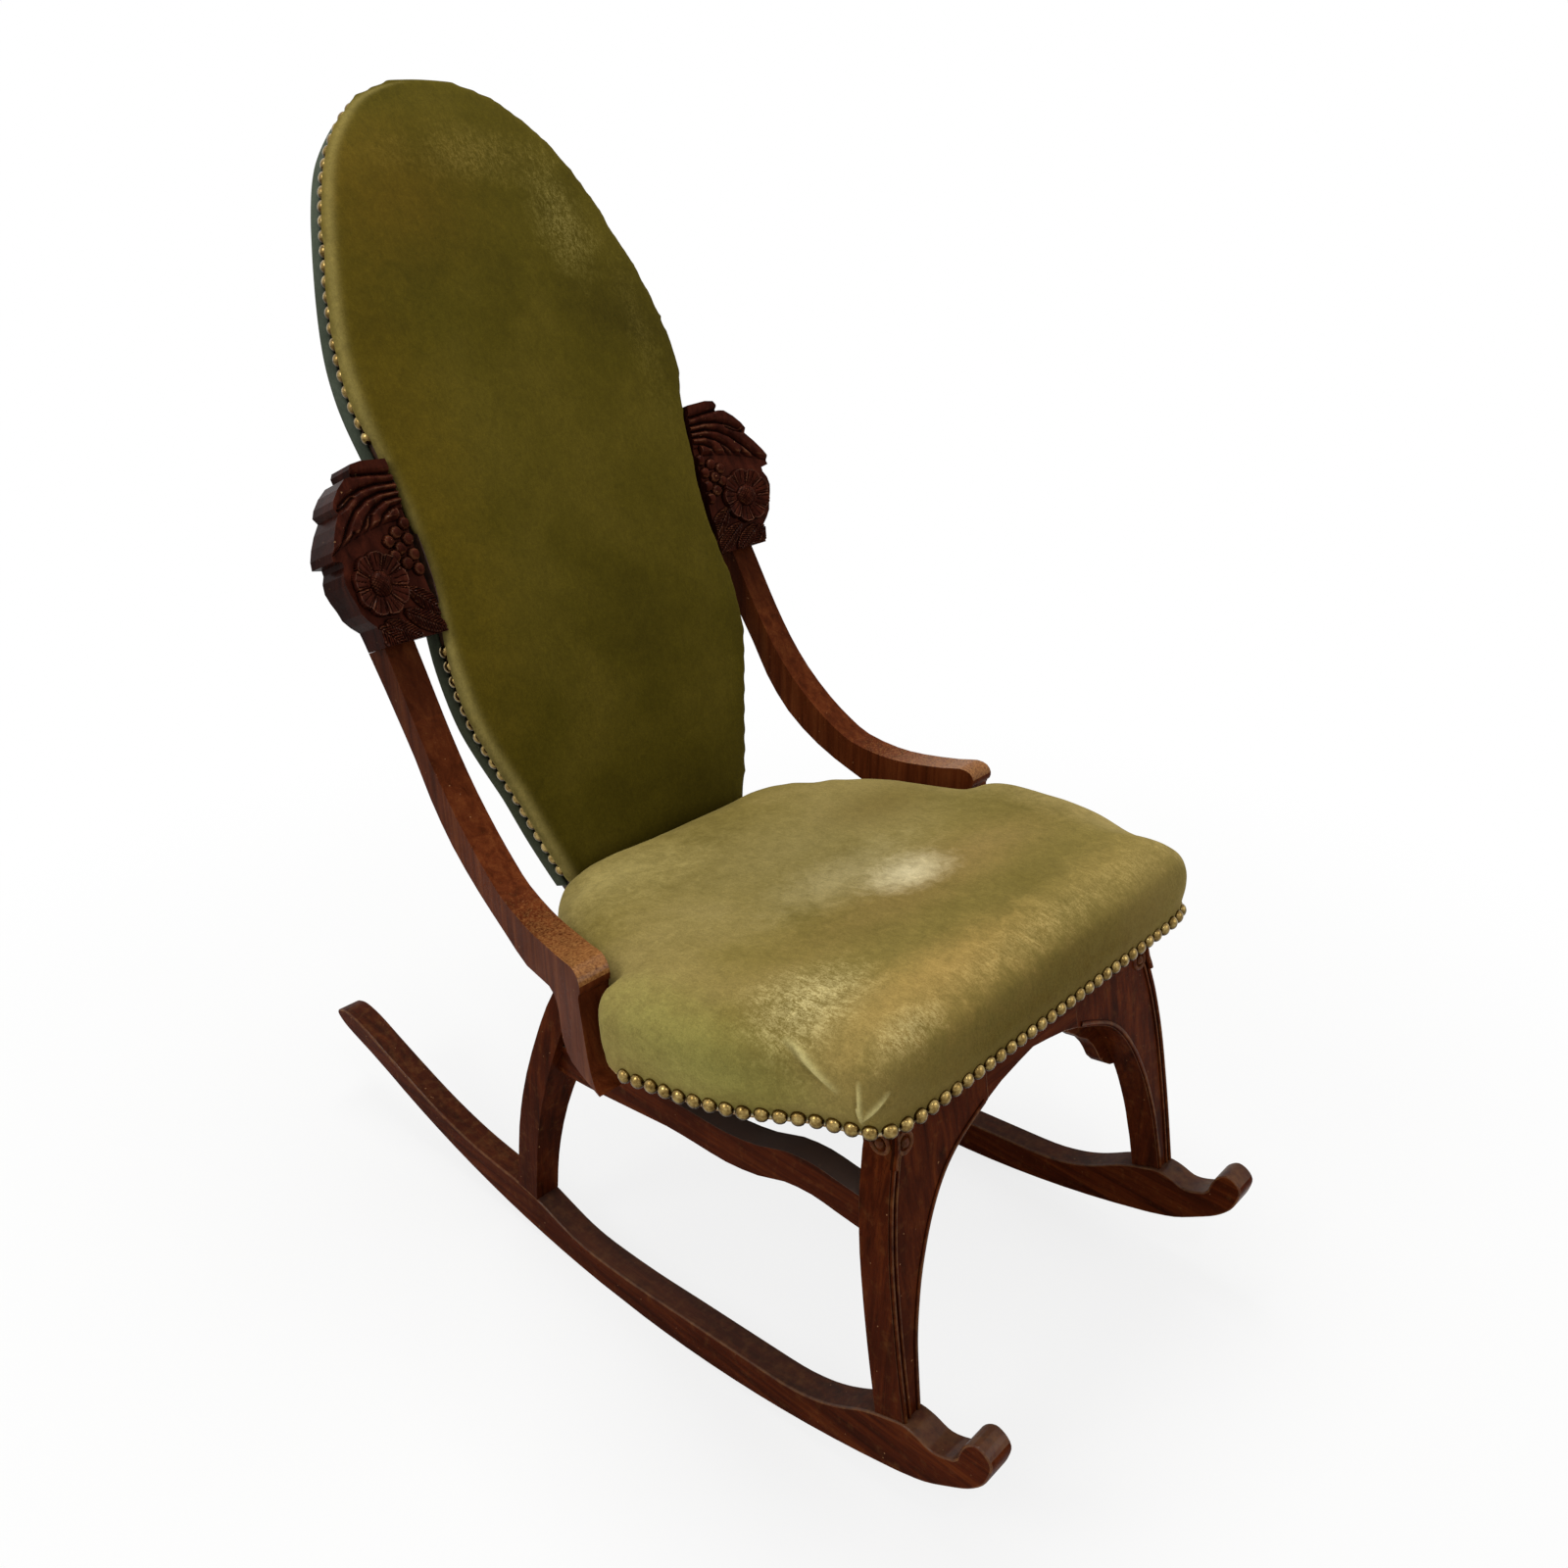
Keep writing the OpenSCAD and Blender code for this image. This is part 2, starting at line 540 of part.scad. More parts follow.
// Webbing stretched over the frame in two layers, then hessian; black cloth below
web_w = 50;
web_long = 4;
web_cross = 4;
module seat_webbing() {
    color(linen) seat_place() intersection() {
        union() {
            translate([0, 0, frame_h]) for (i = [0:web_long - 1])
                translate([(i - (web_long - 1) / 2) * web_w * 1.45 - web_w / 2, 0, 0]) cube([web_w, seat_d, cloth_t]);
            translate([0, 0, frame_h + cloth_t]) for (i = [0:web_cross - 1])
                translate([-seat_hw, (i + 0.75) * seat_d / (web_cross + 0.5) - web_w / 2, 0])
                    cube([seat_w, web_w, cloth_t]);
        }
        linear_extrude(huge) seat_frame_outline(2 * cover_t);
    }
}
module seat_hessian() {
    color(linen) seat_place() translate([0, 0, frame_h + 2 * cloth_t]) linear_extrude(cloth_t)
        seat_frame_outline(2 * cover_t);
}
module dust_cover() {
    color(black_cloth) difference() {
        seat_place() translate([0, 0, -cloth_t]) linear_extrude(cloth_t) seat_frame_outline(frame_w - 2 * cover_t);
        both_ways() arch_board() translate([0, -over]) square(huge);
        both_ways() board(0, huge) rear_leg_side();
    }
}

// Domed nail with its shank, head away from the wood
module nail() {
    cylinder(h = nail_h * 0.5, r1 = nail_d * 0.5, r2 = nail_d * 0.42, $fn = 20);
    translate([0, 0, nail_h * 0.5]) cylinder(h = nail_h * 0.5, r1 = nail_d * 0.42, r2 = nail_d * 0.12, $fn = 20);
    mirror([0, 0, 1]) cylinder(h = nail_shank, r1 = nail_wire, r2 = nail_wire * 0.3, $fn = 20);
}
nail_shank = 9;
nail_wire = 0.8;
// Length along a line, and the point at a length
function run(p) = [for (i = 0, s = 0; i < len(p); s = s + (i < len(p) - 1 ? norm(p[i + 1] - p[i]) : 0), i = i + 1) s];
function at(p, s, d, k) = lookup(d, [for (i = [0:len(p) - 1]) [s[i], p[i][k]]]);

// Row of nails round the seat, on the cover just above its lower edge
nail_z = nail_d * 0.6;
nail_out = 0.1 * seat_bulge;
seat_nail_line = [for (i = [0:len(front_plan_shares) - 2])
    let (p = seat_half[i]) drawn_in(p, -nail_out * p[2], seat_hw, seat_d / 2, seat_d / 2)];
// The nail is turned to face away from the line between two points a little before and after it
module nail_on(a, b, z) {
    turn = atan2(b[1] - a[1], b[0] - a[0]) - 90;
    translate([(a[0] + b[0]) / 2, (a[1] + b[1]) / 2, z]) rotate([0, 90, turn]) nail();
}
nail_step = 1;
module seat_nails() {
    s = run(seat_nail_line);
    count = floor((s[len(s) - 1] - nail_d * 0.4) / nail_pitch);
    color(brass) seat_place() for (i = [-count:count]) {
        d = abs(i) * nail_pitch;
        a = [at(seat_nail_line, s, d - nail_step, 0) * (i == 0 ? -1 : 1) - (i == 0 ? nail_step : 0),
             at(seat_nail_line, s, d - nail_step, 1)];
        b = [at(seat_nail_line, s, d + nail_step, 0), at(seat_nail_line, s, d + nail_step, 1)];
        mirror([i < 0 ? 1 : 0, 0, 0]) nail_on(a, b, nail_z);
    }
}

// Arms: a curved side outline cut from a ring that bends outward towards the front
// [share of the run from knuckle to shoulder, share of the rise]
arm_top_shares = [[1.14, 1.29], [1.10, 1.13], [1.048, 0.985], [0.981, 0.811], [0.922, 0.659], [0.848, 0.49],
                  [0.762, 0.332], [0.658, 0.186], [0.565, 0.084], [0.483, 0.017], [0.361, -0.0225],
                  [0.2565, -0.028], [0.119, -0.011], [0.052, 0.0056], [0.015, -0.011], [0, -0.05],
                  [0.003, -0.085], [0.015, -0.118], [0, -0.236], [-0.022, -0.383], [-0.052, -0.479], [-0.089, -0.507]];
arm_low_shares = [[-0.02, -0.516], [0.093, -0.512], [0.143, -0.445], [0.155, -0.35], [0.166, -0.276], [0.212, -0.225],
                  [0.353, -0.2365], [0.483, -0.163], [0.632, -0.051], [0.77, 0.101], [0.874, 0.287], [0.944, 0.467],
                  [1.115, 0.85], [1.175, 0.985], [1.23, 1.10]];
function arm_point(p) = [-knuckle_y + (arm_end_y + knuckle_y) * p[0], knuckle_z + (arm_end_z - knuckle_z) * p[1]];
arm_line = [for (p = concat(smooth_line(arm_top_shares, 2), smooth_line(arm_low_shares, 2))) arm_point(p)];
module arm_ring() {
    translate([arm_top_x + arm_radius, arm_curve_y, 0]) difference() {
        cylinder(h = huge, r = arm_radius + arm_t, $fn = 360);
        translate([0, 0, -over]) cylinder(h = huge + 2 * over, r = arm_radius, $fn = 360);
    }
}
module arm() {
    color(mahogany) difference() {
        intersection() {
            board(arm_top_x - 2 * arm_t, arm_top_x + 2 * arm_t) polygon(arm_line);
            arm_ring();
        }
        back_place() translate([0, block_s, -huge / 2]) cube(huge);
        arm_dowel(bore_fit);
        arm_screw_pair(bore_fit);
    }
}
arm_dowel_len = 40;
module arm_dowel(gap) {
    back_place() translate([arm_top_x - arm_t / 2, block_s - arm_dowel_len / 2 - gap, bow(block_s) - 0.6 * back_t])
        rotate([-90, 0, 0]) cylinder(h = arm_dowel_len + 2 * gap, r = 1.25 * dowel_r + gap);
}
module arm_dowels() {
    color(beech) both_ways() arm_dowel(0);
}

// Wood screw with a countersunk head, its head at the origin and its point up
screw_r = 2.2;
screw_head_r = 4.4;
module screw(length, gap) {
    translate([0, 0, -gap]) cylinder(h = length + 2 * gap, r = screw_r + gap);
    translate([0, 0, -gap]) cylinder(h = screw_head_r - screw_r + gap, r1 = screw_head_r + gap, r2 = screw_r + gap);
}
arm_screw_len = 52;
module arm_screw_pair(gap) {
    for (k = [-1, 1])
        seat_place() translate([arm_inner_x(-knuckle_y) - frame_w + over, 0.63 * seat_d + k * 0.4 * arm_t, frame_h / 2])
            rotate([0, 90, 0]) screw(arm_screw_len, gap);
}
module arm_screws() {
    color(steel) both_ways() arm_screw_pair(0);
}

// Back, seen from the front: [share of the length, share of half the width]
back_mid = back_len / 2;
back_shares = [[0, 0.53], [0.066, 0.64], [0.12, 0.72], [0.175, 0.79], [0.263, 0.914], [0.35, 0.947], [0.438, 0.92],
               [0.526, 0.94], [0.613, 0.99], [0.657, 1], [0.70, 0.983], [0.745, 0.94], [0.79, 0.883], [0.832, 0.822],
               [0.876, 0.748], [0.92, 0.646], [0.964, 0.475], [0.985, 0.33], [0.997, 0.16], [1, 0]];
back_side = smooth_line([for (p = back_shares) [back_hw * p[1], back_len * p[0]]], 2);
back_frame_plan = concat([[0, 0]], back_side, [for (i = [len(back_side) - 2:-1:0]) [-back_side[i][0], back_side[i][1]]]);
// The covered part starts a little above the foot of the frame
cloth_foot_s = 34.2;
cloth_foot_x = lookup(cloth_foot_s, [for (p = back_side) [p[1], p[0]]]);
cloth_side = concat([[cloth_foot_x, cloth_foot_s]], [for (p = back_side) if (p[1] > cloth_foot_s + over) p]);
back_plan = concat([[0, cloth_foot_s]], cloth_side,
                   [for (i = [len(cloth_side) - 2:-1:0]) [-cloth_side[i][0], cloth_side[i][1]]]);
cloth_mid = (back_len + cloth_foot_s) / 2;
cloth_hl = (back_len - cloth_foot_s) / 2;
// Ring drawn in by d, then shrunk to the share t, standing n in front of the bowed surface
function beside_block(s) = abs(s - block_s - block_h / 2) < (block_h + nail_d) / 2;
// At its foot the cover stops in front of the wooden frame
function foot_n(p, n) = p[1] > cloth_foot_s || n >= 0 ? n : (back_front_n + fit) * n / back_n(-skirt_share);
skirt_share = 0.46;
function back_ring(d, t, n) = [for (p = back_plan)
    let (q = drawn_in(p, d < 0 && beside_block(p[1]) ? 0 : d, back_hw, cloth_hl, cloth_mid),
         s = cloth_mid + (q[1] - cloth_mid) * t)
        [q[0] * t, s, bow(s) + n]];
function cover_ring(d, t, n) = let (r = back_ring(d, t, n))
    [for (i = [0:len(r) - 1]) [r[i][0], r[i][1], bow(r[i][1]) + foot_n(back_plan[i], n)]];
function back_pole(n) = [0, cloth_mid, bow(cloth_mid) + n];
// Distance in front of the bowed surface: shares of the depth behind it, of the crown before it
function back_n(k) = k < 0 ? back_t * k : back_crown * k;
cover_shares = [[0, 1, -skirt_share], [0, 1, -0.20], [-0.055, 1, -0.10], [0.04, 1, -0.005], [0.21, 1, 0.16],
                [0.32, 0.96, 0.30], [0.32, 0.86, 0.54], [0.32, 0.68, 0.77], [0.32, 0.42, 0.93],
                [0.32, 0.18, 0.99]];
back_lining_shares = [[0, 1, -skirt_share], [0, 1, -0.10], [0.08, 1, -0.05], [0.24, 0.96, 0.28], [0.24, 0.80, 0.62],
                      [0.24, 0.50, 0.88]];
function back_lining_n(k) = k < 0 ? back_n(k) : back_n(k) - cover_t;
module back_cover() {
    color(velvet) back_place() loft(
        concat([for (i = [len(back_lining_shares) - 1:-1:0]) let (s = back_lining_shares[i])
                    cover_ring(back_t * s[0] + cover_t, s[1], back_lining_n(s[2]))],
               [for (i = [0:len(cover_shares) - 1]) let (s = cover_shares[i])
                    cover_ring(back_t * s[0], s[1], back_n(s[2]))]),
        back_pole(back_crown - 1.3 * cover_t), back_pole(back_crown));
}
// Layers between the frame and the padding of the back
back_front_n = -0.13 * back_t;
back_rear_n = -0.87 * back_t;
hessian_n = back_front_n + 3 * cloth_t + 2 * fit;
layer_shares = [0.96, 0.65, 0.3];
module back_hessian() {
    color(linen) back_place() loft(
        concat([for (i = [2:-1:0]) back_ring(0.34 * back_t, layer_shares[i], hessian_n - cloth_t * 0.8)],
               [for (t = layer_shares) back_ring(0.34 * back_t, t, hessian_n)]),
        back_pole(hessian_n - cloth_t * 0.8), back_pole(hessian_n));
}
module back_stuffing() {
    pad = [for (i = [3:5]) back_lining_shares[i]];
    color(fibre) back_place() loft(
        concat([for (i = [2:-1:0]) back_ring(0.36 * back_t, layer_shares[i], hessian_n + fit)],
               [for (s = pad) back_ring(back_t * s[0] + 1.4 * cover_t, s[1], back_lining_n(s[2]) - 2 * fit)]),
        back_pole(hessian_n + fit), back_pole(back_crown - 1.6 * cover_t));
}
// Velvet strip round the side of the back, and the cloth panel behind
module strip_loft(rings) {
    n = len(rings[0]);
    m = len(rings);
    polyhedron(points = [for (r = rings) each r],
        faces = concat(
            [for (k = [0:m - 1], i = [0:n - 2]) [k * n + i, ((k + 1) % m) * n + i, k * n + i + 1]],
            [for (k = [0:m - 1], i = [0:n - 2])
                [k * n + i + 1, ((k + 1) % m) * n + i, ((k + 1) % m) * n + i + 1]],
            [[for (k = [m - 1:-1:0]) k * n], [for (k = [0:m - 1]) k * n + n - 1]]));
}
function sides_only(r) = [for (i = [1:len(r) - 1]) r[i]];
module back_band() {
    front = back_n(-skirt_share) - fit;
    color(band_velvet) back_place() strip_loft([
        sides_only(back_ring(0, 1, -back_t)), sides_only(back_ring(0, 1, front)),
        sides_only(back_ring(cover_t, 1, front)), sides_only(back_ring(cover_t, 1, -back_t))]);
}
module back_panel() {
    front = back_rear_n - fit;
    color(band_velvet) back_place() loft(
        concat([for (i = [2:-1:0]) back_ring(cover_t + fit, panel_shares[i], front - cloth_t)],
               [for (t = panel_shares) back_ring(cover_t + fit, t, front)]),
        back_pole(front - cloth_t), back_pole(front));
}
panel_shares = [1, 0.65, 0.3];

// Wooden frame of the back
slab_steps = 12;
module back_slab(n0, n1) {
    line = [for (i = [0:slab_steps]) let (s = -over + (back_len + 2 * over) * i / slab_steps) [s, bow(s)]];
    polygon(concat([for (p = line) p + [0, n0]], [for (i = [slab_steps:-1:0]) line[i] + [0, n1]]));
}
module back_frame_outline(d) {
    polygon(flat_outline(back_frame_plan, d, back_hw, back_mid, back_mid));
}
frame_back_in = cover_t + fit;
module back_wood(s0, s1) {
    back_place() intersection() {
        translate([0, 0, -huge / 2]) linear_extrude(huge) intersection() {
            children();
            translate([-huge / 2, s0]) square([huge, s1 - s0]);
        }
        board(-huge / 2, huge / 2) back_slab(back_rear_n, back_front_n);
    }
}
stile_w = 46;
crest_s = 0.80 * back_len;
foot_rail_h = 0.058 * back_len;
mid_rail_s = 0.40 * back_len;
mid_rail_h = 0.055 * back_len;
module back_stile() {
    color(beech) difference() {
        back_wood(0, crest_s) difference() {
            back_frame_outline(frame_back_in);
            translate([0, -huge / 2]) back_frame_outline(0);
            back_inner();
            translate([-huge, -huge / 2]) square([huge, 2 * huge]);
        }
        back_screw(bore_fit);
        block_screw_pair(bore_fit);
    }
}
module back_inner() {
    polygon([for (p = back_frame_plan) [p[0] * (1 - (stile_w + frame_back_in) / back_hw), p[1] * 1.02 - over]]);
}
module crest_rail() {
    color(beech) back_wood(crest_s, huge / 2) difference() {
        back_frame_outline(frame_back_in);
        back_frame_outline(frame_back_in + 1.3 * stile_w);
    }
}
module back_cross_rail(s0, s1) {
    color(beech) back_wood(s0, s1) intersection() {
        back_frame_outline(frame_back_in);
        back_inner();
    }
}
module back_mid_rail() {
    back_cross_rail(mid_rail_s, mid_rail_s + mid_rail_h);
}
module back_foot_rail() {
    back_cross_rail(0, foot_rail_h);
}
module back_webbing() {
    color(linen) back_place() {
        intersection() {
            translate([0, 0, -huge / 2]) linear_extrude(huge) intersection() {
                union() {
                    for (k = [-1, 0, 1]) translate([k * 0.5 * back_hw - web_w / 2, 0]) square([web_w, back_len]);
                }
                back_frame_outline(0.4 * back_t);
                translate([-huge / 2, cloth_foot_s + 2 * over]) square(huge);
            }
            board(-huge / 2, huge / 2) back_slab(back_front_n, back_front_n + cloth_t);
        }
        intersection() {
            translate([0, 0, -huge / 2]) linear_extrude(huge) intersection() {
                for (k = [0.14, 0.28, 0.42, 0.56, 0.70, 0.84])
                    translate([-2 * back_hw, k * back_len - web_w / 2]) square([4 * back_hw, web_w]);
                back_frame_outline(0.4 * back_t);
            }
            board(-huge / 2, huge / 2) back_slab(back_front_n + cloth_t, back_front_n + 2 * cloth_t);
        }
    }
}
back_foot_w = 2 * 0.53 * back_hw;
back_screw_len = 60;
back_screw_s = 13.4;
back_screw_x = back_foot_w / 2 - 0.34 * stile_w;
module back_screw(gap) {
    back_place() translate([back_screw_x, back_screw_s, back_rear_n + bow(back_screw_s)])
        screw(back_screw_len, gap);
}
module back_screws() {
    color(steel) both_ways() back_screw(0);
}

// Nails round the side of the back, left out where the carved blocks stand
back_nail_n = -0.30 * back_t;
back_nail_line = [for (i = [len(cloth_side) - 1:-1:0]) cloth_side[i]];
module back_nails() {
    s = run(back_nail_line);
    count = floor((s[len(s) - 1] - nail_d) / nail_pitch);
    color(brass) back_place() for (i = [-count:count]) {
        d = abs(i) * nail_pitch;
        a = [at(back_nail_line, s, d - nail_step, 0) - (i == 0 ? nail_step : 0), at(back_nail_line, s, d - nail_step, 1)];
        b = [at(back_nail_line, s, d + nail_step, 0), at(back_nail_line, s, d + nail_step, 1)];
        if (abs((a[1] + b[1]) / 2 - block_s - block_h / 2) > (block_h + nail_d) / 2)
            mirror([i < 0 ? 1 : 0, 0, 0]) nail_on(b, a, bow((a[1] + b[1]) / 2) + back_nail_n);
    }
}

// Carved shoulder block: [distance from the middle as a share of block_x, share of its height]
block_shares = [[0.949, 0], [0.957, 0.135], [0.991, 0.27], [1.0, 0.385], [1.0, 0.44], [0.983, 0.49], [0.974, 0.54],
                [0.991, 0.60], [0.994, 0.66], [0.968, 0.73], [0.957, 0.80], [0.938, 0.87], [0.90, 0.905], [0.872, 0.92],
                [0.81, 0.96], [0.74, 0.99], [0.70, 1.0]];
block_inner_x = 0.8 * back_hw;
block_line = concat([[block_inner_x, 0]], [for (p = smooth_line(block_shares, 2)) [block_x * p[0], block_h * p[1]]],
                    [[block_inner_x, block_h]]);
block_n = bow(block_s + block_h / 2);
flower_x = 0.88 * block_x;
flower_s = 0.335 * block_h;
flower_r = 0.135 * block_h;
petals = 9;
module carved_block() {
    color(dark_mahogany) difference() {
        back_place() translate([0, block_s, block_n - 0.88 * block_t]) {
            linear_extrude(block_t) polygon(block_line);
            // Leaves rise in steps in front of the block
            linear_extrude(1.18 * block_t) intersection() {
                polygon([for (p = block_line) [block_x * 0.79 + (p[0] - block_x * 0.79) * 0.86,
                                               block_h * 0.62 + (p[1] - block_h * 0.62) * 0.86]]);
                translate([0, 0.42 * block_h]) square(huge);
            }
            linear_extrude(1.36 * block_t)
                polygon([[0.80 * block_x, 0.46 * block_h], [0.93 * block_x, 0.42 * block_h], [0.985 * block_x, 0.47 * block_h],
                         [0.955 * block_x, 0.53 * block_h], [0.90 * block_x, 0.60 * block_h], [0.83 * block_x, 0.70 * block_h],
                         [0.76 * block_x, 0.72 * block_h]]);
            linear_extrude(1.25 * block_t)
                polygon([[0.82 * block_x, 0.66 * block_h], [0.90 * block_x, 0.62 * block_h], [0.96 * block_x, 0.66 * block_h],
                         [0.93 * block_x, 0.76 * block_h], [0.86 * block_x, 0.84 * block_h], [0.80 * block_x, 0.80 * block_h]]);
            // Flower with grooved petals and a button in its middle
            translate([flower_x, flower_s, 0]) {
                cylinder(h = 1.1 * block_t, r = 0.62 * flower_r);
                for (i = [0:petals - 1]) rotate(360 * i / petals) translate([0.68 * flower_r, 0, 0])
                    cylinder(h = 1.16 * block_t, r = 0.30 * flower_r);
                translate([0, 0, 1.1 * block_t]) sphere(r = 0.36 * flower_r);
            }
        }
        back_place() translate([0, 0, -huge / 2]) linear_extrude(huge)
            polygon(flat_outline(back_frame_plan, -fit, back_hw, back_mid, back_mid));
        arm_dowel(bore_fit);
        block_screw_pair(bore_fit);
    }
}
block_screw_len = 52;
module block_screw_pair(gap) {
    for (k = [0.36, 0.68])
        back_place() translate([back_hw * 0.78, block_s + k * block_h, block_n - 0.6 * back_t])
            rotate([0, 90, 0]) screw(block_screw_len, gap);
}
module block_screws() {
    color(steel) both_ways() block_screw_pair(0);
}

// Last shift: y is measured from the middle of the floor space of the chair
module in_place() {
    translate([0, -(tail_reach - toe_reach) / 2, 0]) children();
}
module left() {
    in_place() children();
}
module right() {
    in_place() mirror([1, 0, 0]) children();
}
left() rocker();  // rocker_left
right() rocker();  // rocker_right
left() front_leg();  // front_leg_left
right() front_leg();  // front_leg_right
left() rear_leg();  // rear_leg_left
right() rear_leg();  // rear_leg_right
left() side_stretcher();  // side_stretcher_left
right() side_stretcher();  // side_stretcher_right
left() seat_rail();  // seat_rail_left
right() seat_rail();  // seat_rail_right
left() arm();  // arm_left
right() arm();  // arm_right
left() carved_block();  // carved_block_left
right() carved_block();  // carved_block_right
left() back_stile();  // back_stile_left
right() back_stile();  // back_stile_right
in_place() front_rail();
in_place() rear_rail();
in_place() seat_rail_front();
in_place() seat_rail_back();
in_place() corner_blocks();
in_place() seat_webbing();
in_place() seat_hessian();
in_place() seat_stuffing();
in_place() seat_cover();
in_place() dust_cover();
in_place() seat_nails();
in_place() crest_rail();
in_place() back_mid_rail();
in_place() back_foot_rail();
in_place() back_webbing();
in_place() back_hessian();
in_place() back_stuffing();
in_place() back_cover();
in_place() back_band();
in_place() back_panel();
in_place() back_nails();
in_place() leg_dowels();
in_place() arm_dowels();
in_place() arm_screws();
in_place() block_screws();
in_place() back_screws();
in_place() front_brackets();
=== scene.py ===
"""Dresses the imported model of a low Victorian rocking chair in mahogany, olive velvet and brass nails."""

import math

import bmesh
import bpy
from mathutils import Matrix, Vector
from mathutils.bvhtree import BVHTree


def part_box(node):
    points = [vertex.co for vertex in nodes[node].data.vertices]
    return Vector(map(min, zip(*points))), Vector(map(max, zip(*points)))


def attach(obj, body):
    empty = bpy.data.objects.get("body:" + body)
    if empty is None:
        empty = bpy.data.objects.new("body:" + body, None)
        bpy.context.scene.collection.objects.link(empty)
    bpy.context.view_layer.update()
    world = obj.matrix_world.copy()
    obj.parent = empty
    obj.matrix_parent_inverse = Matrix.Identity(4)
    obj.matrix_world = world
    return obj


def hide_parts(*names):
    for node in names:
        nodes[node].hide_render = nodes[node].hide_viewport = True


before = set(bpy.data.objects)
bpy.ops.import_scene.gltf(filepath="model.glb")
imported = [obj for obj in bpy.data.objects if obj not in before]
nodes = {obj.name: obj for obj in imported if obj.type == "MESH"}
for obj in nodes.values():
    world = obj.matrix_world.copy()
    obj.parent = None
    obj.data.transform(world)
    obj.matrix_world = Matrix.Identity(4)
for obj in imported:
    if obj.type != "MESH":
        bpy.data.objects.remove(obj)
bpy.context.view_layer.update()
scene = bpy.context.scene


# Rockers, one on each side.
# Sawn from 30 mm mahogany board, rounded along the edges by hand and French polished; the polish is rubbed
# away at the scrolled toes and along the top edges, where shoes and hands touch them.
def srgb(code):
    """A colour written as on a paint card, in the light's own scale."""
    parts = [int(code[i : i + 2], 16) / 255 for i in (1, 3, 5)]
    return [c / 12.92 if c <= 0.04045 else ((c + 0.055) / 1.055) ** 2.4 for c in parts] + [1]


def feed(finish, node, inputs):
    """Sets each input of a node that is already there, or links it to what feeds it."""
    for name, value in inputs.items():
        if isinstance(value, bpy.types.Node):
            value = value.outputs[0]
        if isinstance(value, bpy.types.NodeSocket):
            finish.node_tree.links.new(value, node.inputs[name])
        else:
            node.inputs[name].default_value = value


def add(finish, kind, inputs=None, stops=None, **settings):
    """A node of this kind in a finish, with its settings, its inputs set or linked, and a ramp's stops."""
    made = finish.node_tree.nodes.new("ShaderNode" + kind)
    for name, value in settings.items():
        setattr(made, name, value)
    feed(finish, made, inputs or {})
    for i, (place, tone) in enumerate(stops or []):
        stop = made.color_ramp.elements[i] if i < 2 else made.color_ramp.elements.new(place)
        stop.position, stop.color = place, srgb(tone)
    return made


def new_finish(name):
    """A new finish, with its surface and the place in the piece that its patterns read."""
    finish = bpy.data.materials.new(name)
    finish.use_nodes = True
    return finish, finish.node_tree.nodes["Principled BSDF"], add(finish, "TexCoord").outputs["Object"]


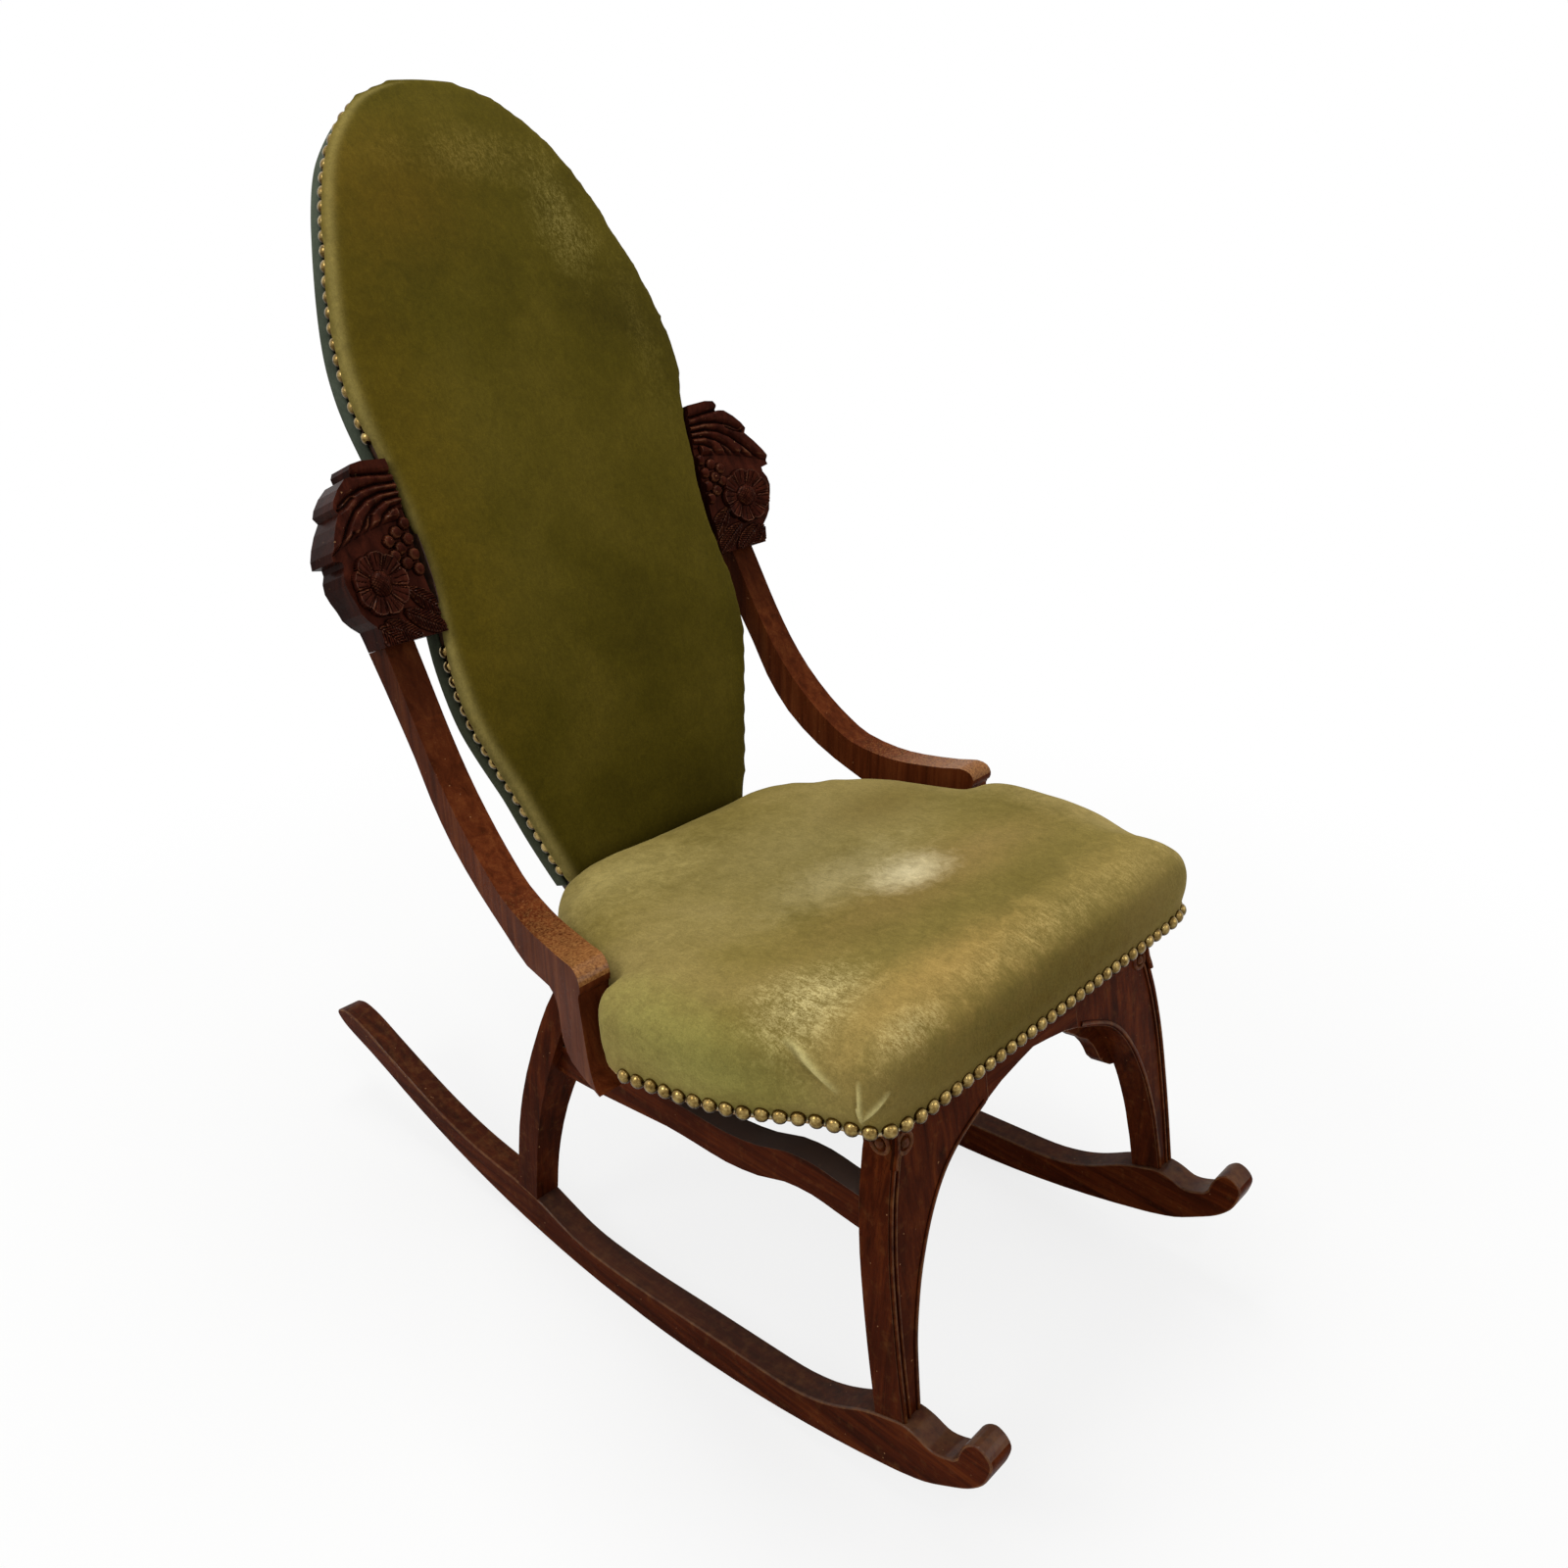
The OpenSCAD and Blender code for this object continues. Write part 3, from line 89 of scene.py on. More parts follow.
def french_polish(name, grain, dark="#290f06", mid="#4b1d0b", light="#652f12", worn="#84582f", dust="#584a43",
                  shine=0.01, grit=110.0):
    """Mahogany under shellac: red-brown, with fine pores along the grain, cloudy polish and rubbed edges."""
    finish, surface, place = new_finish(name)
    # Bands of figure 9 mm apart that run on for 200 mm, and pores 0.9 mm apart and 16 mm long
    wide = Vector((1 / 0.009,) * 3)
    fine = Vector((1 / 0.0009,) * 3)
    wide["xyz".index(grain)], fine["xyz".index(grain)] = 1 / 0.2, 1 / 0.016
    banded = add(finish, "Mapping", {"Vector": place, "Scale": wide})
    lined = add(finish, "Mapping", {"Vector": place, "Scale": fine})
    figure = add(finish, "TexNoise", {"Vector": banded, "Scale": 1.0, "Detail": 5.0, "Roughness": 0.6,
                                      "Distortion": 0.6})
    pores = add(finish, "TexNoise", {"Vector": lined, "Scale": 1.0, "Detail": 2.0})
    clouds = add(finish, "TexNoise", {"Vector": place, "Scale": 16.0, "Detail": 4.0, "Roughness": 0.65})
    specks = add(finish, "TexNoise", {"Vector": place, "Scale": grit, "Detail": 6.0, "Roughness": 0.62})
    tone = add(finish, "ValToRGB", {"Fac": figure}, stops=[(0.28, dark), (0.74, light), (0.5, mid)])
    line = add(finish, "MapRange", {"Value": pores, "From Min": 0.30, "From Max": 0.46, "To Min": 0.5,
                                    "To Max": 0.0})
    pored = add(finish, "Mix", {0: line, 6: tone, 7: srgb(dark)}, data_type="RGBA")
    shade = add(finish, "MapRange", {"Value": clouds, "From Min": 0.35, "From Max": 0.7, "To Max": 0.5})
    cloudy = add(finish, "Mix", {0: shade, 6: pored.outputs[2], 7: srgb(dark)}, data_type="RGBA")
    # Rubbed polish: golden along the rounded edges and wherever the face marks wear and painted highlights,
    # in specks elsewhere
    edge = add(finish, "Attribute", attribute_name="wear_and_painted_highlight")
    rub_and_highlight = add(finish, "Math", {0: edge.outputs["Fac"], 1: specks}, operation="MULTIPLY")
    wear_and_painted_highlight = add(finish, "MapRange", {"Value": rub_and_highlight, "From Min": 0.30, "From Max": 0.72, "To Max": 0.7})
    coloured = add(finish, "Mix", {0: wear_and_painted_highlight, 6: cloudy.outputs[2], 7: srgb(worn)}, data_type="RGBA")
    # Chips a millimetre across, where bare wood shows pale, and dust on the top faces that nobody wipes
    chips = add(finish, "TexNoise", {"Vector": place, "Scale": 290.0, "Detail": 1.0})
    chip = add(finish, "MapRange", {"Value": chips, "From Min": 0.775, "From Max": 0.80, "To Max": 0.55})
    chipped = add(finish, "Mix", {0: chip, 6: coloured.outputs[2], 7: srgb("#b4865c")}, data_type="RGBA")
    # The same dust tone also paints shade into carved cuts and along the foot of mouldings
    dust_and_painted_light = add(finish, "Attribute", attribute_name="dust_and_painted_light").outputs["Fac"]
    dust_and_painted_light_mix = add(finish, "Mix", {0: dust_and_painted_light, 6: chipped.outputs[2], 7: srgb(dust)}, data_type="RGBA")
    rough = add(finish, "MapRange", {"Value": clouds, "From Min": 0.3, "From Max": 0.75, "To Min": 0.22,
                                     "To Max": 0.42})
    relief = add(finish, "Math", {0: pores, 1: figure}, operation="ADD")
    bump = add(finish, "Bump", {"Height": relief, "Strength": 0.12, "Distance": 0.0006})
    # Old shellac is thin and half absorbed: it mirrors the lamps, warm, and shines most where it is handled
    glaze = add(finish, "MapRange", {"Value": edge.outputs["Fac"], "From Min": 0.66, "From Max": 1.0,
                                     "To Min": 0.004, "To Max": 0.26})
    feed(finish, surface, {"Base Color": dust_and_painted_light_mix.outputs[2], "Roughness": rough, "Normal": bump,
                           "Specular IOR Level": shine, "Specular Tint": srgb("#ffb487"),
                           "Coat Weight": glaze, "Coat Roughness": 0.12})
    return finish


def finish_mesh(shape, name, finish, slot, *stands_for, crease=40, flats=False):
    """A finished piece of the chair, smooth but for its sharp edges; flats keep their own shine."""
    mesh = bpy.data.meshes.new(name)
    for face in shape.faces:
        face.smooth = True
    for edge in shape.edges:
        edge.smooth = edge.calc_face_angle(0) < math.radians(crease)
    shape.to_mesh(mesh)
    shape.free()
    mesh.materials.append(finish)
    piece = bpy.data.objects.new(name, mesh)
    scene.collection.objects.link(piece)
    if flats:
        even = piece.modifiers.new("flats", "WEIGHTED_NORMAL")
        even.keep_sharp = True
    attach(piece, "root")
    if stands_for:
        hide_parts(*stands_for)
    return piece


def joiner_copy(node):
    """The solid's own mesh, its loose triangles merged and its flats made whole again."""
    shape = bmesh.new()
    shape.from_mesh(nodes[node].data)
    bmesh.ops.remove_doubles(shape, verts=shape.verts, dist=4e-6)
    bmesh.ops.dissolve_limit(shape, angle_limit=math.radians(0.8), verts=shape.verts, edges=shape.edges)
    return shape


def ease_edges(shape, width, segments=3, sharper_than=35, whole=0.55):
    """Rounds every sharp edge, as sandpaper and years of use do, and marks where the polish has gone."""
    wear_and_painted_highlight = shape.faces.layers.float.new("wear_and_painted_highlight")
    for face in shape.faces:
        face[wear_and_painted_highlight] = whole
    edges = [e for e in shape.edges if e.is_manifold and math.degrees(e.calc_face_angle(0)) > sharper_than]
    made = bmesh.ops.bevel(shape, geom=edges, offset=width, offset_type="OFFSET", affect="EDGES",
                           segments=segments, profile=0.5, clamp_overlap=True, material=-1)
    for face in made["faces"]:
        face[wear_and_painted_highlight] = 1.0


rocker_polish = french_polish("rocker_french_polish", "y")
toe_ends, tail_starts = -0.34, 0.1
for side in ("left", "right"):
    shape = joiner_copy("rocker_" + side)
    ease_edges(shape, width=0.0024)
    wear_and_painted_highlight = shape.faces.layers.float["wear_and_painted_highlight"]
    dust_and_painted_light = shape.faces.layers.float.new("dust_and_painted_light")
    for face in shape.faces:
        if face.normal.z > 0.5:
            back = face.calc_center_median().y
            face[dust_and_painted_light] = 0.3 if back < tail_starts else 0.1
            face[wear_and_painted_highlight] = max(face[wear_and_painted_highlight], 0.88 if back < toe_ends else 0.66)
    finish_mesh(shape, "rocker_polished_" + side, rocker_polish, "mahogany", "rocker_" + side, flats=True)

# Legs, rails and stretchers between the rockers and the seat.
# Cut from 26 to 34 mm mahogany, dowelled and glued; the front pair are the ends of the arch under the seat,
# and its middle is a loose piece. The tops of the side stretchers are grey with dust, its tone painted
# lighter to make up for the shade under the seat.
upright_polish = french_polish("upright_french_polish", "z", dust="#150704")
cross_polish = french_polish("cross_french_polish", "x")
for polish, rounding, group in (
    (upright_polish, 0.0012, ("front_leg_left", "front_leg_right", "rear_leg_left", "rear_leg_right")),
    (cross_polish, 0.0007, ("front_rail", "front_brackets", "rear_rail"))):
    for node in group:
        shape = joiner_copy(node)
        ease_edges(shape, width=rounding)
        finish_mesh(shape, node + "_polished", polish, "mahogany", node, flats=True)
stretcher_polish = french_polish("stretcher_french_polish", "y")
for side in ("left", "right"):
    node = "side_stretcher_" + side
    shape = joiner_copy(node)
    ease_edges(shape, width=0.0012)
    dust_and_painted_light = shape.faces.layers.float.new("dust_and_painted_light")
    # Grey dust on the top faces, painted lighter than dust alone as painted light for the shade under the
    # seat
    for face in shape.faces:
        face[dust_and_painted_light] = 0.9 if face.normal.z > 0.6 else 0.0
    finish_mesh(shape, "stretcher_polished_" + side, stretcher_polish, "mahogany", node, flats=True)

# Mouldings of the front legs, cut in the solid: a bead round the edge of the arch, two reeds down the outer
# corner, and a small lappet over the reeds, with a curl on each face and a ridge between them.
leg_rake = math.radians(10)
leg_face = Vector((0, -math.cos(leg_rake), math.sin(leg_rake)))
foot_height, arch_rise, arch_half, leg_half = 97.45, 208.55, 175, 196
foot_front, bead_ends, reeds_end, half_round = -361.18, 64, 0.309, 6
arch_edge = [(1.0, 0.0), (0.978, 0.194), (0.962, 0.29), (0.935, 0.386), (0.90, 0.484), (0.85, 0.585),
             (0.79, 0.68), (0.706, 0.775), (0.595, 0.85), (0.42, 0.915), (0.25, 0.965)]
leg_edge = [(1.0, 0.0), (0.995, 0.27), (0.98, 0.54), (0.962, 0.70), (0.93, 0.86), (0.89, 0.99), (0.868, 1.10),
            (0.868, 1.6)]


def smooth_through(points, times):
    """More points on the rounded line through these."""
    for _ in range(times):
        more = []
        for i in range(len(points) - 1):
            a, b = Vector(points[i]), Vector(points[i + 1])
            before = Vector(points[i - 1]) if i else a * 2 - b
            after = Vector(points[i + 2]) if i + 2 < len(points) else b * 2 - a
            more += [tuple(a), tuple((a + b) * 0.5625 - (before + after) * 0.0625)]
        points = more + [points[-1]]
    return points


def on_leg(half_width, edge):
    """Points along an edge of the raking front face of the legs, in metres."""
    line = [(half_width * x, foot_height + arch_rise * z) for x, z in smooth_through(edge, 2)]
    return [Vector((x, foot_front + z * math.tan(leg_rake), z)) / 1000 for x, z in line]


def run_moulding(shape, line, aside, wide, proud):
    """A half-round moulding along a line on the front face, set aside from it."""
    order = shape.verts.layers.int.get("order") or shape.verts.layers.int.new("order")
    edges = []
    for i, point in enumerate(line):
        ahead = (line[min(i + 1, len(line) - 1)] - line[max(i - 1, 0)]).normalized()
        across = ahead.cross(leg_face).normalized()
        if edges:
            made = bmesh.ops.extrude_edge_only(shape, edges=edges)["geom"]
            verts = {g for g in made if isinstance(g, bmesh.types.BMVert)}
            edges = [g for g in made if isinstance(g, bmesh.types.BMEdge) and set(g.verts) <= verts]
        else:
            verts = [shape.verts.new() for _ in range(half_round + 1)]
            for k, v in enumerate(verts):
                v[order] = k
            edges = [shape.edges.new(pair) for pair in zip(verts, verts[1:])]
        for v in verts:
            turn = math.pi * v[order] / half_round
            v.co = point + across * (aside - math.cos(turn) * wide / 2) + leg_face * (math.sin(turn) * proud)


side_face = Vector((1, 0, 0.05)).normalized()
for side in ("left", "right"):
    shape = bmesh.new()
    arch = [p for p in on_leg(arch_half, arch_edge) if p.x > bead_ends / 1000]
    run_moulding(shape, arch, aside=0.0030, wide=0.0046, proud=0.0015)
    corner = on_leg(leg_half, leg_edge)
    reeded = [p for p in corner if p.z < reeds_end]
    run_moulding(shape, reeded, aside=-0.0020, wide=0.0040, proud=0.0024)
    run_moulding(shape, reeded, aside=-0.0074, wide=0.0030, proud=0.0018)
    ridge = [p for p in corner if 0.296 < p.z < 0.330]
    run_moulding(shape, ridge, aside=-0.0012, wide=0.0056, proud=0.0048)
    # The curls: a ring and a button on the front face, the same on the outer side
    top = min(corner, key=lambda p: abs(p.z - reeds_end))
    for centre, out in (((-0.0115, 0, 0), leg_face), ((0.0002, 0.0115, 0.0), side_face)):
        spot = Matrix.Translation(top + Vector(centre)) @ out.to_track_quat("Z", "Y").to_matrix().to_4x4()
        bmesh.ops.create_uvsphere(shape, u_segments=16, v_segments=8, radius=0.0044,
                                  matrix=spot @ Matrix.Diagonal((1, 1, 0.8, 1)))
        upright = Matrix.Translation((0.0078, 0, 0)) @ Matrix.Rotation(math.pi / 2, 4, "X")
        wire = bmesh.ops.create_circle(shape, segments=8, radius=0.0021, matrix=spot @ upright)
        ring = wire["verts"] + list({e for v in wire["verts"] for e in v.link_edges})
        bmesh.ops.spin(shape, geom=ring, cent=spot.translation, axis=spot.to_3x3().col[2], angle=math.tau,
                       steps=24, use_merge=True)
    bmesh.ops.remove_doubles(shape, verts=shape.verts, dist=1e-6)
    if side == "right":
        bmesh.ops.scale(shape, vec=(-1, 1, 1), verts=shape.verts)
    bmesh.ops.recalc_face_normals(shape, faces=shape.faces)
    # Painted shade lies dark along the foot of each moulding, and its crest is painted paler, a painted
    # highlight with some wear
    wear_and_painted_highlight, dust_and_painted_light = (shape.faces.layers.float.new(name) for name in ("wear_and_painted_highlight", "dust_and_painted_light"))
    order = shape.verts.layers.int["order"]
    for face in shape.faces:
        steps = sum(v[order] for v in face.verts) / len(face.verts)
        face[wear_and_painted_highlight] = 0.86 if 1.8 < steps < 4.2 or steps == 0 else 0.6
        face[dust_and_painted_light] = 0.75 if 0 < steps < 0.9 or steps > 5.1 else 0.0
    finish_mesh(shape, "leg_mouldings_" + side, upright_polish, "mahogany", crease=60)

# Arms that sweep down from the shoulder blocks to a square knuckle and on to the seat rail.
# Shaped from one piece of mahogany each, with softened corners; the knuckle is rubbed golden by hands.
arm_polish = french_polish("arm_french_polish", "z", dark="#3c190a", mid="#5d2b14", light="#753f1f",
                           worn="#b8824a", dust="#200c07", shine=0.012, grit=520.0)
foot_ends, worn_from, worn_length, reach_height, reach_fade = 0.37, 0.06, 0.15, 0.43, 0.14
for side in ("left", "right"):
    shape = joiner_copy("arm_" + side)
    ease_edges(shape, width=0.0036, segments=4)
    # Cut across every 4 mm, so that the wear can grow softly toward the knuckle
    for k in range(48):
        bmesh.ops.bisect_plane(shape, geom=shape.verts[:] + shape.edges[:] + shape.faces[:], dist=1e-5,
                               plane_co=(0, 0.0941 - 0.004 * k, 0), plane_no=(0, 1, 0))
    wear_and_painted_highlight = shape.faces.layers.float["wear_and_painted_highlight"]
    dust_and_painted_light = shape.faces.layers.float.new("dust_and_painted_light")
    for face in shape.faces:
        middle = face.calc_center_median()
        wear_and_painted_light = min(1.0, max(0.0, (worn_from - middle.y) / worn_length))
        if face.normal.z > 0.3 and middle.z > foot_ends:
            face[wear_and_painted_highlight] = 0.5 + 0.66 * wear_and_painted_light
        elif face[wear_and_painted_highlight] < 0.9:
            face[wear_and_painted_highlight] = 0.5
        # Darker toward the top of the arm, from 0.43 m up over 0.14 m
        face[dust_and_painted_light] = 0.62 * min(1.0, max(0.0, (middle.z - reach_height) / reach_fade))
    finish_mesh(shape, "arm_polished_" + side, arm_polish, "mahogany", "arm_" + side, flats=True)

# Carved shoulder blocks, where the arms meet the back.
# Carved in relief in the solid: a plume of leaves over berries, a daisy and ferns, stained darker than the
# frame. Places are in millimetres: x from the middle of the chair, s up the slope of the back.
block_place = Matrix.Translation((0, 0.102, 0.300)) @ Matrix.Rotation(math.radians(67.5), 4, "X")
block_front = [
    (160.8, 282), (222, 282), (223, 292), (224, 299), (230, 305), (235, 312), (237, 320), (240, 328),
    (242, 336), (241, 344), (238, 350), (238, 354.5), (246, 356), (245, 363), (241, 372), (235, 382),
    (228, 391), (231, 396), (228, 402), (221, 410), (212, 417), (204, 418.5), (204.5, 424), (202, 428),
    (192, 429.5), (169, 428.2), (166, 405), (165.2, 380), (165.6, 356), (165.2, 330), (162.5, 300)]
plume_lines = [
    [(150, 417), (172, 417), (186, 418.5), (203, 419.5)],
    [(150, 409), (172, 409.5), (185, 410), (200, 408), (213, 403.5), (224, 397)],
    [(150, 402.5), (170, 403), (184, 403), (198, 399.5), (211, 392), (222, 381), (231, 370), (240, 359)],
    [(150, 396), (168, 397.5), (181, 396.5), (193, 391.5), (203, 384), (211, 374.5), (214, 364)],
    [(150, 390), (166, 391), (177, 389.5), (186, 384.5), (190.5, 377), (191.5, 370)],
    [(198, 386), (202, 377), (206.5, 366)],
    [(226, 394), (218, 397), (210, 402)],
    [(236, 357), (226, 364), (219, 374)]]
berries = [(169, 375), (179.5, 369), (170, 362), (189, 363), (180, 356), (169, 349), (187.5, 350.5),
           (168.5, 336.5), (178, 343)]
berry_radius = 5.2
daisy, button_edge, petals_from = (209.5, 331.5), 10.5, 12.5
ferns = [((183, 322), (160, 300)), ((193, 305), (162, 285)), ((214, 300), (188, 283)),
         ((222, 296), (208, 283))]


def away_from(line, x, s):
    """How far a point is from a line of points, in millimetres."""
    best = 1e9
    for (ax, ay), (bx, by) in zip(line, line[1:]):
        dx, dy = bx - ax, by - ay
        t = max(0.0, min(1.0, ((x - ax) * dx + (s - ay) * dy) / (dx * dx + dy * dy)))
        best = min(best, math.hypot(x - ax - t * dx, s - ay - t * dy))
    return best


def carved_height(x, s):
    """Height of the carving over the plane of the back, in millimetres."""
    ground = 21 + 13 * max(0.0, (x - 166) / 75) ** 1.4 * (0.45 + 0.55 * math.exp(-(((s - 345) / 48) ** 2)))
    height = ground
    # The plume: reeds between the cut lines, over everything above a line that falls outward
    edge_of_plume = 379 - 0.0045 * max(0.0, x - 165) ** 1.9 + (8 if x < 172 else 0)
    if s > edge_of_plume:
        rise = min(1.0, (s - edge_of_plume) / 4)
        near = min(away_from(line, x, s) for line in plume_lines)
        height = ground + rise * (1.4 + 4.4 * (1 - math.exp(-((near / 2.1) ** 2))))
    for bx, bs in berries:
        d = math.hypot(x - bx, s - bs)
        if d < berry_radius:
            height = max(height, ground + 1 + math.sqrt(berry_radius**2 - d * d))
    # The daisy: nine cupped petals with fine grooves, round a cross-hatched button
    d = math.hypot(x - daisy[0], s - daisy[1])
    turn = math.atan2(s - daisy[1], x - daisy[0])
    petal = abs(math.sin(4.5 * turn + 0.4))
    reach = 23.5 + 3.0 * petal**0.5
    if d < reach:
        lip = ground + 1.5 + 4.2 * (d / reach) ** 1.6
        grooved = 1 if d > petals_from else 0
        groove = 1.1 * max(0.0, math.cos(27 * turn)) ** 6 * grooved * min(1.0, (reach - d) / 2.5)
        split = 1.8 * math.exp(-((petal * d / 3.0) ** 2)) * min(1.0, d / 16)
        height = lip - groove - split
        if d < button_edge:
            button = ground + 0.5 + 0.86 * math.sqrt(10.8**2 - d * d)
            hatched = max(math.cos((x + s) * 2.35), math.cos((x - s) * 2.35), 0) ** 2
            height = max(height, button - 0.55 * hatched)
    elif s < 326:
        # The ferns: leaves that swell in the middle, with ribs that lean off a cut midrib
        for (ax, ay), (bx, by) in ferns:
            ux, uy = bx - ax, by - ay
            long = math.hypot(ux, uy)
            ux, uy = ux / long, uy / long
            t, w = (x - ax) * ux + (s - ay) * uy, (x - ax) * -uy + (s - ay) * ux
            broad = 8.0 * math.sin(math.pi * min(1, max(0.04, (t + 3) / (long + 8)))) ** 0.6
            if -2 < t < long + 3 and abs(w) < broad:
                rib = 1.25 * max(0.0, math.cos((t - 1.05 * abs(w)) * 2.1)) - 1.2 * math.exp(-((w / 0.7) ** 2))
                height = max(height, ground + 3.2 + rib - 0.16 * abs(w))
    return height


carver_polish = french_polish("carved_french_polish", "z", dark="#1f0b07", mid="#3a1810", light="#502417",
                              worn="#8e5a3a", dust="#0b0302", shine=0.015)
carved = bmesh.new()
wear_and_painted_highlight = carved.faces.layers.float.new("wear_and_painted_highlight")
blank = carved.faces.new([carved.verts.new((x, s, 0)) for x, s in block_front])
chamfer, back_face = 0.6, -4.5
rim = bmesh.ops.inset_region(carved, faces=[blank], thickness=chamfer, use_boundary=True,
                             use_even_offset=True)
# The chamfer round the rim carries a painted highlight, with some real wear
for face in rim["faces"]:
    face[wear_and_painted_highlight] = 0.9
step = 0.8
for way, low, high in ((Vector((1, 0, 0)), 160, 247), (Vector((0, 1, 0)), 281, 430)):
    for k in range(int((high - low) / step)):
        bmesh.ops.bisect_plane(carved, geom=carved.verts[:] + carved.edges[:] + carved.faces[:], dist=0.02,
                               plane_co=way * (low + 0.37 + k * step), plane_no=way)
for v in carved.verts:
    v.co.z = carved_height(v.co.x, v.co.y) - (chamfer if v.is_boundary else 0)
# Painted shade in the cuts: the hollower a spot beside its neighbours, the darker
dust_and_painted_light, hollow = (carved.verts.layers.float.new(name) for name in ("dust_and_painted_light", "hollow"))
for v in carved.verts:
    if not v.is_boundary:
        around = [e.other_vert(v).co for e in v.link_edges]
        v[hollow] = (sum(co.z for co in around) / len(around) - v.co.z) / step**2
        v[dust_and_painted_light] = min(0.9, max(0.0, v[hollow] * 3.0))
    else:
        v[dust_and_painted_light] = 0.4
# Painted shade on the walls, darker at their foot than at the rim
walls = bmesh.ops.extrude_edge_only(carved, edges=[e for e in carved.edges if e.is_boundary])
for g in walls["geom"]:
    if isinstance(g, bmesh.types.BMVert):
        g.co.z = back_face
        g[dust_and_painted_light] = 0.65
bmesh.ops.holes_fill(carved, edges=[e for e in carved.edges if e.is_boundary], sides=0)
bmesh.ops.recalc_face_normals(carved, faces=carved.faces)
# Walls keep little wear; a face standing proud of its neighbours gets a painted highlight, paler and glossier
for face in carved.faces:
    if abs(face.normal.z) < 0.3:
        face[wear_and_painted_highlight] = 0.45
    elif face[wear_and_painted_highlight] < 0.8:
        proud = -sum(v[hollow] for v in face.verts) / len(face.verts)
        face[wear_and_painted_highlight] = 0.45 + min(0.4, max(0.0, proud * 1.5 - 0.12))
bmesh.ops.transform(carved, matrix=block_place @ Matrix.Scale(0.001, 4), verts=carved.verts)
for side in ("left", "right"):
    shape = carved.copy()
    if side == "right":
        bmesh.ops.scale(shape, vec=(-1, 1, 1), verts=shape.verts)
        bmesh.ops.recalc_face_normals(shape, faces=shape.faces)
    finish_mesh(shape, "shoulder_carving_" + side, carver_polish, "carved_mahogany", "carved_block_" + side,
                crease=50, flats=True)
carved.free()

# Seat cushion: velvet over horsehair, crowned, its rim standing a little over the line of nails.
# Pulled down over the rails at the front and sides and notched round the arms; the pile is rubbed pale and
# brown where people sit, and pleats fan out from the front corners. Painted shade darkens the front face,
# and painted highlights lie on the crown, the side rims and the pleats.
seat_plane = 0.343
seat_place = Matrix.Translation((0, -0.326, seat_plane)) @ Matrix.Rotation(math.radians(-6.6), 4, "X")
seat_wide, seat_deep, seat_crown, seat_rim = 252, 425, 44, 30
# Half the outline from the front to the rear: shares of the width and the depth, and how far the rim swells
seat_line = [
    (0, 0, 1), (.35, 0, 1), (.69, 0, 1), (.765, .008, 1), (.808, .03, 1), (.828, .07, 1), (.855, .13, 1),
    (.90, .185, 1), (.94, .235, 1), (.968, .29, 1), (.988, .345, 1), (1.0, .41, 1), (1.012, .465, 1),
    (1.01, .515, .9), (.995, .545, .6), (.905, .557, 0), (.885, .60, 0), (.864, .65, 0), (.843, .70, 0),
    (.817, .753, .3), (.766, .812, .6), (.698, .87, .8), (.615, .929, .9), (.548, .969, .6), (.46, .993, .2),
    (.40, 1, 0)]
notch_starts = 15
# Rings from the rail to the crown: swell, share drawn in, and height, which passes 1 at the top of the rim
seat_rings = [(0, 0, 0), (.12, 0, .46), (.90, 0, .80), (1, 0, 1.28), (.55, 0, 1.60), (0, .03, 1.79),
              (0, .10, 1.885), (0, .25, 1.94), (0, .55, 1.98), (0, .8, 2.0)]


